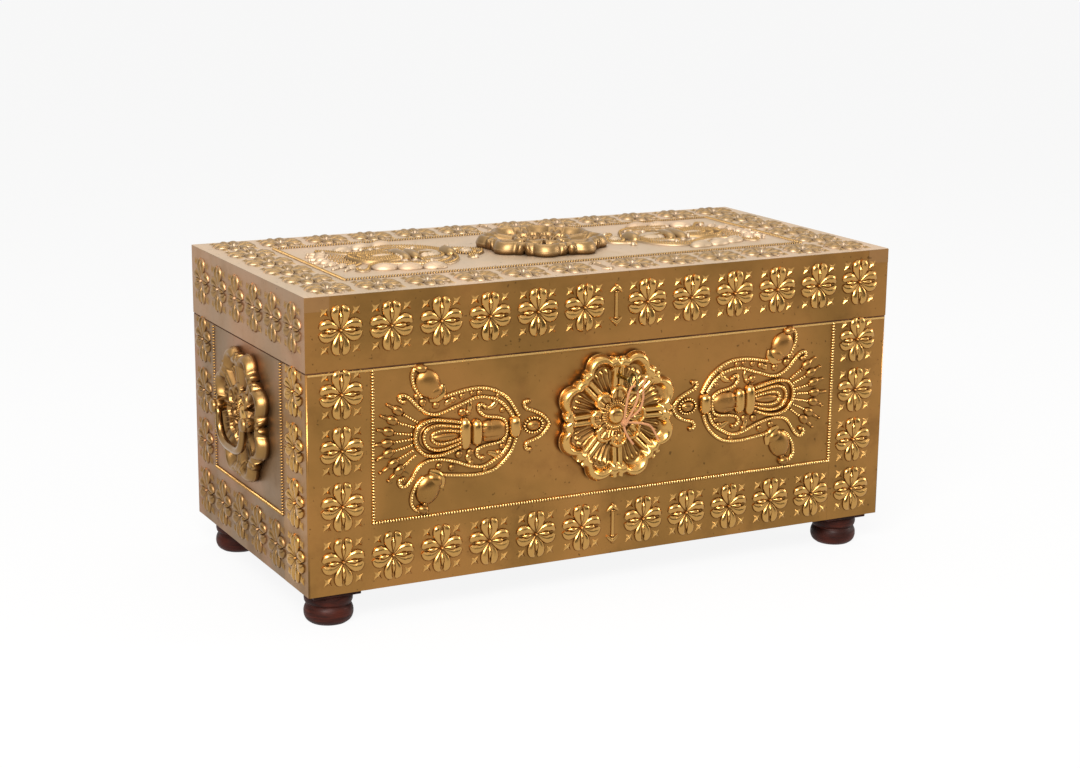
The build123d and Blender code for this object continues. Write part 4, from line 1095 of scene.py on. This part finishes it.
def edge_roll(distance, crest, reach, foot=0.0):
    """A rolled border: a quarter round from its foot to its crest, then a soft slope to nothing."""
    rise = foot + (1 - foot) * np.sqrt(np.clip(1 - ((crest - distance) / crest) ** 2, 0, 1))
    fall = 0.5 + 0.5 * np.cos(np.pi * np.clip((distance - crest) / (reach - crest), 0, 1))
    return np.where(distance < crest, rise, fall)


def soft_max(a, b, softness):
    return 0.5 * (a + b + np.sqrt((a - b) ** 2 + softness ** 2))


def petal_form(root, lobes, least, floor, top, outer, side, ribs):
    """One petal of eight, as a closed form over the sheet.

    root is its foot's radius, least the least radius of its outline, and floor the hollow's height at
    its foot and at its rim.  outer and side are the crest and reach of the rolled borders, and side
    has its foot's share too.  ribs are their directions in degrees, their height and half width.
    """
    deselect_all()
    bpy.ops.mesh.primitive_grid_add(x_subdivisions=56, y_subdivisions=44, size=2)
    fan = bpy.context.object
    place, *_ = mesh_arrays(fan.data)
    half = math.pi / 8
    angle = half * np.sin(place[:, 0] * math.pi / 2)
    share = np.sin((place[:, 1] + 1) * math.pi / 4)
    reach = np.maximum(lobe_reach(angle, lobes), least)
    radius = root + (reach - root) * share
    out = reach - radius
    aside = radius * np.sin(half - np.abs(angle))
    along = np.clip((radius - root) / (reach.max() - root), 0, 1)
    height = edge_roll(out, *outer) * top
    sides = edge_roll(aside, *side) * top * (0.58 + 0.36 * along)
    height = soft_max(soft_max(height, sides, 2.0), floor[0] + (floor[1] - floor[0]) * along, 2.0)
    directions, rib_height, rib_half = ribs
    for rib in directions:
        end = root + 0.62 * (reach.max() - root)
        drop = 1 + 0.7 * np.exp(-((radius - end + 3) / 3.0) ** 2)
        fade = np.clip((radius - root) / 6, 0, 1) * np.clip((end + 2 - radius) / 3, 0, 1)
        across = (angle - math.radians(rib)) * radius / (rib_half * drop)
        height += rib_height * fade * drop * np.exp(-across ** 2)
    place[:, 0], place[:, 1] = radius * np.cos(angle), radius * np.sin(angle)
    place[:, 2] = height
    fan.data.vertices.foreach_set("co", place.ravel())
    bpy.ops.object.mode_set(mode="EDIT")
    bpy.ops.mesh.select_all(action="SELECT")
    bpy.ops.mesh.normals_make_consistent(inside=False)
    bpy.ops.mesh.select_mode(type="EDGE")
    bpy.ops.mesh.select_all(action="DESELECT")
    bpy.ops.mesh.select_non_manifold()
    bpy.ops.mesh.extrude_edges_move()
    bpy.ops.object.mode_set(mode="OBJECT")
    middle = (root + reach.max()) / 2
    for vertex in fan.data.vertices:
        if vertex.select:
            vertex.co = (middle + (vertex.co.x - middle) * 0.95, vertex.co.y * 0.9, UNDER)
    bpy.ops.object.mode_set(mode="EDIT")
    bpy.ops.mesh.edge_face_add()
    bpy.ops.mesh.select_all(action="SELECT")
    bpy.ops.mesh.normals_make_consistent(inside=False)
    bpy.ops.object.mode_set(mode="OBJECT")
    bpy.ops.object.shade_smooth_by_angle(angle=math.radians(60))
    return take_mesh(fan)


LARGE_LOBES = [(74.5, 0, 20.5), (71, 21.5, 11.0), (71, -21.5, 11.0)]
SMALL_LOBES = [(32.5, 0, 13.5)]
large_petal = petal_form(root=26, lobes=LARGE_LOBES, least=82, floor=(2.5, 7.0), top=17.5,
                         outer=(9.0, 27.0), side=(5.5, 14.0, 0.55), ribs=((-7, 0, 7), 3.4, 1.2))
small_petal = petal_form(root=21, lobes=SMALL_LOBES, least=35.5, floor=(2.5, 5.0), top=13.0,
                         outer=(6.0, 12.0), side=(3.0, 7.0, 0.45), ribs=((-9, 0, 9), 2.6, 1.0))
print("petals", len(large_petal.polygons), len(small_petal.polygons))

# %% [markdown]
# The stud in a rosette's middle is turned: a profile spun round, with a ring of beads round its
# dome.  Turned pieces all come from one helper, which spins a smooth line.


# %% Turned forms
def turned(profile, steps=48):
    """A profile of (radius, height) spun round the upright axis."""
    curve = nurbs_path("profile", [(radius, 0.0, height) for radius, height in profile], bevel=0.0)
    curve.data.resolution_u = 6
    deselect_all()
    curve.select_set(True)
    bpy.context.view_layer.objects.active = curve
    bpy.ops.object.convert(target="MESH")
    spun = bpy.context.object
    spin = spun.modifiers.new("spin", "SCREW")
    spin.steps, spin.render_steps = steps, steps
    spin.use_merge_vertices, spin.merge_threshold = True, 0.005
    bpy.ops.object.modifier_apply(modifier=spin.name)
    bpy.ops.object.mode_set(mode="EDIT")
    bpy.ops.mesh.select_all(action="SELECT")
    bpy.ops.mesh.remove_doubles(threshold=0.005)
    bpy.ops.mesh.normals_make_consistent(inside=False)
    bpy.ops.object.mode_set(mode="OBJECT")
    bpy.ops.object.shade_smooth_by_angle(angle=math.radians(40))
    return take_mesh(spun)


STUD_PROFILE = [(0, 10.7), (4.4, 10.6), (9.2, 9.4), (12.0, 6.4), (12.6, 4.6), (13.4, 5.6), (16, 6.8),
                (20.0, 6.4), (22.6, 4.6), (23.2, 2.4), (23.2, 1.2), (23.2, 1.2), (0, 1.2)]


# The stud's ribs and beads: out from its middle, up, and half their lengths.
STUD_RINGS = [(17.4, 6.2, (3.6, 1.1, 2.4)), (21.4, 5.0, (1.7, 1.7, 2.8))]


def make_stud():
    rib_dome = with_painted_highlight(add_dome(8, 6), 1.15)
    copies = [(turned(STUD_PROFILE), Matrix.Identity(4))]
    for i in range(36):
        turn = Matrix.Rotation(math.radians(i * 10), 4, "Z")
        copies += [(rib_dome, turn @ Matrix.Translation((out, 0, up)) @ Matrix.Diagonal((*half, 1)))
                   for out, up, half in STUD_RINGS]
    return merged(copies)


stud_form = make_stud()
ROSETTE_FULL = 19.0          # the rosettes polish on their rims only
rosette_copies = [(large_petal, at(0, 0, 22.5 + 45 * i)) for i in range(8)]
rosette_copies += [(small_petal, Matrix.Translation((0, 0, 2.0)) @ at(0, 0, 45 * i)) for i in range(8)]
for face, finish in (("front", cast_brass), ("left", side_cast_brass), ("right", side_cast_brass)):
    placed = [(mesh, FACES[face] @ at(0, rosette_z) @ matrix) for mesh, matrix in rosette_copies]
    finish_piece(joined(face + "_rosette_brass", placed, ROSETTE_FULL), "chest", finish,
                 [face + "_rosette"])
placed = [(mesh, FACES["top"] @ matrix) for mesh, matrix in rosette_copies]
finish_piece(joined("lid_rosette_brass", placed, ROSETTE_FULL), "lid", lid_cast_brass,
             ["lid_rosette"])
placed = [(stud_form, FACES[face] @ at(0, rosette_z)) for face in ("front", "left", "right")]
finish_piece(joined("base_rosette_studs_brass", placed), "chest", cast_brass,
             ["base_rosette_studs"])
finish_piece(joined("lid_rosette_stud_brass", [(stud_form, FACES["top"])]), "lid", lid_cast_brass,
             ["lid_rosette_stud"])

# %% [markdown]
# ## Handles
# A bail is a round bar, thicker at the grip, that turns on pins in two barrel-shaped eyes.  Its ends
# curl up outside them.

# %% Bails and eyes
EYE_HALF, EYE_REACH = 60.0, 24.0
BAIL_LINE = [(-74.5, 5.5, 2.4), (-71, 3.6, 4.4), (-66, 1.2, 4.6), (-60, 0, 3.9), (-53, -1, 4.3),
             (-49.5, -6, 5.0), (-48.5, -16, 5.5), (-45.5, -28, 5.8), (-37, -39, 6.0), (-21, -45, 6.1),
             (0, -45.6, 6.1)]
EYE_PROFILE = [(0, 32.4), (5.6, 32.4), (8.4, 31.0), (9.6, 28.0), (9.0, 25.0), (10.0, 21.0), (9.2, 16.0),
               (7.0, 11.5), (7.8, 6.0), (10.4, 2.5), (11.2, 0.5), (11.2, 0.0), (11.2, 0.0), (0, 0.0)]


def make_bail():
    line = BAIL_LINE + [(-u, v, r) for u, v, r in reversed(BAIL_LINE[:-1])]
    return merged([rod(line, 1.0, 5)])


bail_form, eye_form = make_bail(), turned(EYE_PROFILE, 32)
for face in ("left", "right"):
    centre = FACES[face] @ at(0, rosette_z)
    bail = joined(face + "_bail_brass", [(bail_form, centre @ Matrix.Translation((0, 0, EYE_REACH)))])
    eyes = joined(face + "_eyes_brass", [(eye_form, centre @ at(side * EYE_HALF, 0)) for side in (1, -1)])
    finish_piece(bail, face + "_handle", bail_brass, [face + "_handle_bail"])
    finish_piece(eyes, "chest", side_cast_brass, [face + "_handle_eyes"])

# %% [markdown]
# ## Feet
# Each foot is turned from one block: a square plate over two fat beads.

# %% Feet
FOOT_HEIGHT, FOOT_INSET = 49.0, 45.0
PLATE_LOW, PLATE_HALF, PLATE_EDGE = 41.0, 33.5, 1.2
FOOT_PROFILE = [(0, 0), (25.5, 0), (25.5, 0), (30.5, 3.5), (33.2, 10), (33.2, 17), (31.5, 22), (29.6, 24.6),
                (29.6, 25.6), (31.6, 27.5), (32.8, 32), (32.4, 37), (30.6, 41), (30.6, 41), (0, 41)]


def add_feet(name, v):
    foot = turned(FOOT_PROFILE, 64)
    plate = slab(-PLATE_HALF, PLATE_HALF, -PLATE_HALF, PLATE_HALF, PLATE_LOW, FOOT_HEIGHT, PLATE_EDGE)[0]
    spots = [Matrix.Scale(MM, 4) @ Matrix.Translation((side * (half_width - FOOT_INSET), middle_y + v, 0))
             for side in (-1, 1)]
    copies = [(form, spot) for spot in spots for form in (foot, plate)]
    finish_piece(joined(name + "_wood", copies), "chest", foot_wood, [name])


add_feet("front_feet", -(half_depth - FOOT_INSET))
add_feet("rear_feet", half_depth - FOOT_INSET)

# %% [markdown]
# ## Key
# The key's shank stands out between two petals.  Its bow is an upright ring on a collar.

# %% Key
KEY_DROP, KEY_REACH, BOW_HALF_UP, BOW_HALF_ACROSS = 42.0, 41.0, 14.0, 11.0
BOW_BAR, BOW_FLAT = 0.25, 8.0         # the ring's bar against its middle line, and its stretch sideways
SHANK_RADIUS, SHANK_OVERLAP = 3, 2
COLLAR_PROFILE = [(0, -0.2), (3.4, 0), (4.5, 1), (4.5, 3), (3.4, 4), (0, 4.2)]
BIT_HALF, BIT_DROP, BIT_LENGTH = 1.25, 10, 5


def add_bow():
    deselect_all()
    bpy.ops.mesh.primitive_torus_add(major_radius=1.0, minor_radius=BOW_BAR, major_segments=40,
                                     minor_segments=16, location=(0, 0, 0), rotation=(0, math.pi / 2, 0))
    bow = bpy.context.object
    bpy.ops.object.transform_apply()
    bpy.ops.object.shade_smooth()
    return take_mesh(bow)


def add_key():
    front_y = middle_y - half_depth
    bow = add_bow()
    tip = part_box("lock_back_plate")[1][1] / MM
    length, radius = tip - (front_y - KEY_REACH) + SHANK_OVERLAP, SHANK_RADIUS
    shank = turned([(0, 0), (radius, 0), (radius, 0), (radius, length / 2), (radius, length),
                    (radius, length), (0, length)], 24)
    collar = turned(COLLAR_PROFILE, 24)
    bit = slab(-BIT_HALF, BIT_HALF, -BIT_DROP, 0, 0, BIT_LENGTH, 0.2)[0]
    bit_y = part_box("lock_bolt")[0][1] / MM + BIT_LENGTH
    inwards, outwards = [Matrix.Rotation(math.radians(turn), 4, "X") for turn in (-90, 90)]
    stretch = Matrix.Diagonal((BOW_FLAT, BOW_HALF_ACROSS / (1 + BOW_BAR), BOW_HALF_UP / (1 + BOW_BAR), 1))
    forms = [(shank, front_y - KEY_REACH - SHANK_OVERLAP, inwards),
             (collar, front_y - KEY_REACH, inwards),
             (bit, bit_y, outwards),
             (bow, front_y - KEY_REACH - BOW_HALF_ACROSS, stretch)]
    copies = [(form, Matrix.Scale(MM, 4) @ Matrix.Translation((0, y, rim - KEY_DROP)) @ turn)
              for form, y, turn in forms]
    finish_piece(joined("key_brass", copies), "key", key_brass, ["key"])


add_key()

# %% [markdown]
# The twine's knot is three turns of the same twine pulled tight round the strands.


# %% Knot
KNOT_AT = (-5.0, 14.0, -47.0)          # from the twine's pivot
KNOT_TURNS, KNOT_STEPS, KNOT_TWINE = 3, 8, 1.7


def add_knot():
    centre = [a + b for a, b in zip(TWINE_PIVOT, KNOT_AT)]
    points = []
    for i in range(KNOT_TURNS * KNOT_STEPS + 1):
        turn = 2 * math.pi * i / KNOT_STEPS
        points.append((3.2 * math.cos(turn), 2.6 * math.sin(turn) + 0.6 * math.sin(3 * turn),
                       -4 + i / 3.0 + 1.2 * math.cos(2 * turn)))
    mesh = take_mesh(nurbs_path("knot", points, bevel=KNOT_TWINE, sides=3))
    place = Matrix.Scale(MM, 4) @ Matrix.Translation(centre) @ Matrix.Rotation(math.radians(30), 4, "Y")
    finish_piece(joined("twine_knot_jute", [(mesh, place)]), "twine", jute, ["twine_knot"])


add_knot()

# %% [markdown]
# Boards, hinges and the lock keep the shapes of the CAD model.

# %% Finishes of the CAD nodes
# The first word that a node's name holds gives its finish, and the rest are cast brass.
NODE_FINISHES = (("hinge", dull_iron), ("lock", dull_iron), ("twine", jute), ("key", key_brass),
                 ("feet", foot_wood), ("board", board_wood), ("rail", board_wood), ("", cast_brass))

for name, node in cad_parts.items():
    material = next(finish for word, finish in NODE_FINISHES if word in name)
    node.data.materials.clear()
    node.data.materials.append(material)
print("CAD nodes", len(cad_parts))

# %% [markdown]
# ## Studio
# The chest stands on a pale floor that runs off into a white backdrop.  A large lamp hangs up and to
# the left, a wide one overhead and a weak one to the right.  Two dark screens stand in front and to
# the left, where only the polished metal sees them, so that its rounded forms get dark sides too.


# %% Floor, backdrop and lamps
def white_where_seen(tree, plain, white, surface, share=1.0):
    """The plain shader for diffuse light, and the white one where the camera or metal looks."""
    seen, blend = tree.nodes.new("ShaderNodeLightPath"), tree.nodes.new("ShaderNodeMixShader")
    looked_at = math_node(tree, "MAXIMUM", seen.outputs["Is Camera Ray"], seen.outputs["Is Glossy Ray"])
    tree.links.new(math_node(tree, "MULTIPLY", looked_at, share), blend.inputs["Fac"])
    tree.links.new(plain, blend.inputs[1])
    tree.links.new(white, blend.inputs[2])
    tree.links.new(blend.outputs["Shader"], surface)


def add_floor():
    deselect_all()
    bpy.ops.mesh.primitive_plane_add(size=30)
    floor = bpy.context.object
    floor.name = "studio_floor"
    material, nodes, links, shader = new_material("studio_paper")
    tree = material.node_tree
    place = nodes.new("ShaderNodeTexCoord")
    fibre = noise(tree, place.outputs["Object"], 60.0, 2.0)
    links.new(mixed(tree, fibre, (0.58, 0.58, 0.58), (0.62, 0.62, 0.62)), shader.inputs["Base Color"])
    shader.inputs["Roughness"].default_value = 0.9
    glow = nodes.new("ShaderNodeEmission")
    glow.inputs["Color"].default_value = (1.0, 1.0, 1.0, 1.0)
    glow.inputs["Strength"].default_value = 1.0
    white_where_seen(tree, shader.outputs["BSDF"], glow.outputs["Emission"],
                     nodes["Material Output"].inputs["Surface"], 0.9)
    floor.data.materials.append(material)


def add_world(strength):
    world = bpy.data.worlds.new("studio")
    bpy.context.scene.world = world
    world.use_nodes = True
    nodes = world.node_tree.nodes
    dim, white = nodes["Background"], nodes.new("ShaderNodeBackground")
    dim.inputs["Color"].default_value = (1.0, 0.985, 0.96, 1.0)
    dim.inputs["Strength"].default_value = strength
    white.inputs["Color"].default_value = (1.0, 1.0, 1.0, 1.0)
    white.inputs["Strength"].default_value = 1.0
    white_where_seen(world.node_tree, dim.outputs["Background"], white.outputs["Background"],
                     nodes["World Output"].inputs["Surface"])


def add_dark_card(name, place, turn, size):
    """A dark screen that only the polished metal sees."""
    deselect_all()
    bpy.ops.mesh.primitive_plane_add(size=1, location=place, rotation=turn)
    card = bpy.context.object
    card.name = name
    card.scale = (*size, 1)
    material, nodes, links, shader = new_material(name + "_felt")
    tree = material.node_tree
    where = nodes.new("ShaderNodeTexCoord")
    links.new(mixed(tree, noise(tree, where.outputs["Object"], 30.0), (0.1, 0.1, 0.1), (0.14, 0.14, 0.14)),
              shader.inputs["Base Color"])
    shader.inputs["Roughness"].default_value = 1.0
    card.data.materials.append(material)
    card.visible_camera = card.visible_shadow = card.visible_diffuse = False


def add_lamp(name, place, target, size, power, tone):
    deselect_all()
    bpy.ops.object.light_add(type="AREA", location=place)
    lamp = bpy.context.object
    lamp.name = name
    lamp.data.shape = "RECTANGLE"
    lamp.data.size, lamp.data.size_y = size
    lamp.data.energy = power
    lamp.data.color = tone
    lamp.rotation_euler = (Vector(target) - Vector(place)).to_track_quat("-Z", "Y").to_euler()


add_floor()
add_world(0.45)
add_lamp("key_light", (-1.9, -2.6, 2.3), (0, 0, 0.25), (2.0, 1.3), 235, (1.0, 0.97, 0.94))
add_lamp("top_light", (0.2, 0.6, 3.0), (0, 0, 0.3), (2.6, 1.8), 34, (1.0, 0.99, 0.97))
add_lamp("fill_light", (3.5, -1.1, 1.4), (0, 0, 0.25), (1.0, 1.0), 45, (1.0, 0.97, 0.93))
add_dark_card("front_card", (0.6, -4.0, 0.75), (math.radians(90), 0, 0), (9, 1.5))
add_dark_card("left_card", (-4.2, 1.6, 0.75), (math.radians(90), 0, math.radians(90)), (4, 1.5))
print("stage set")
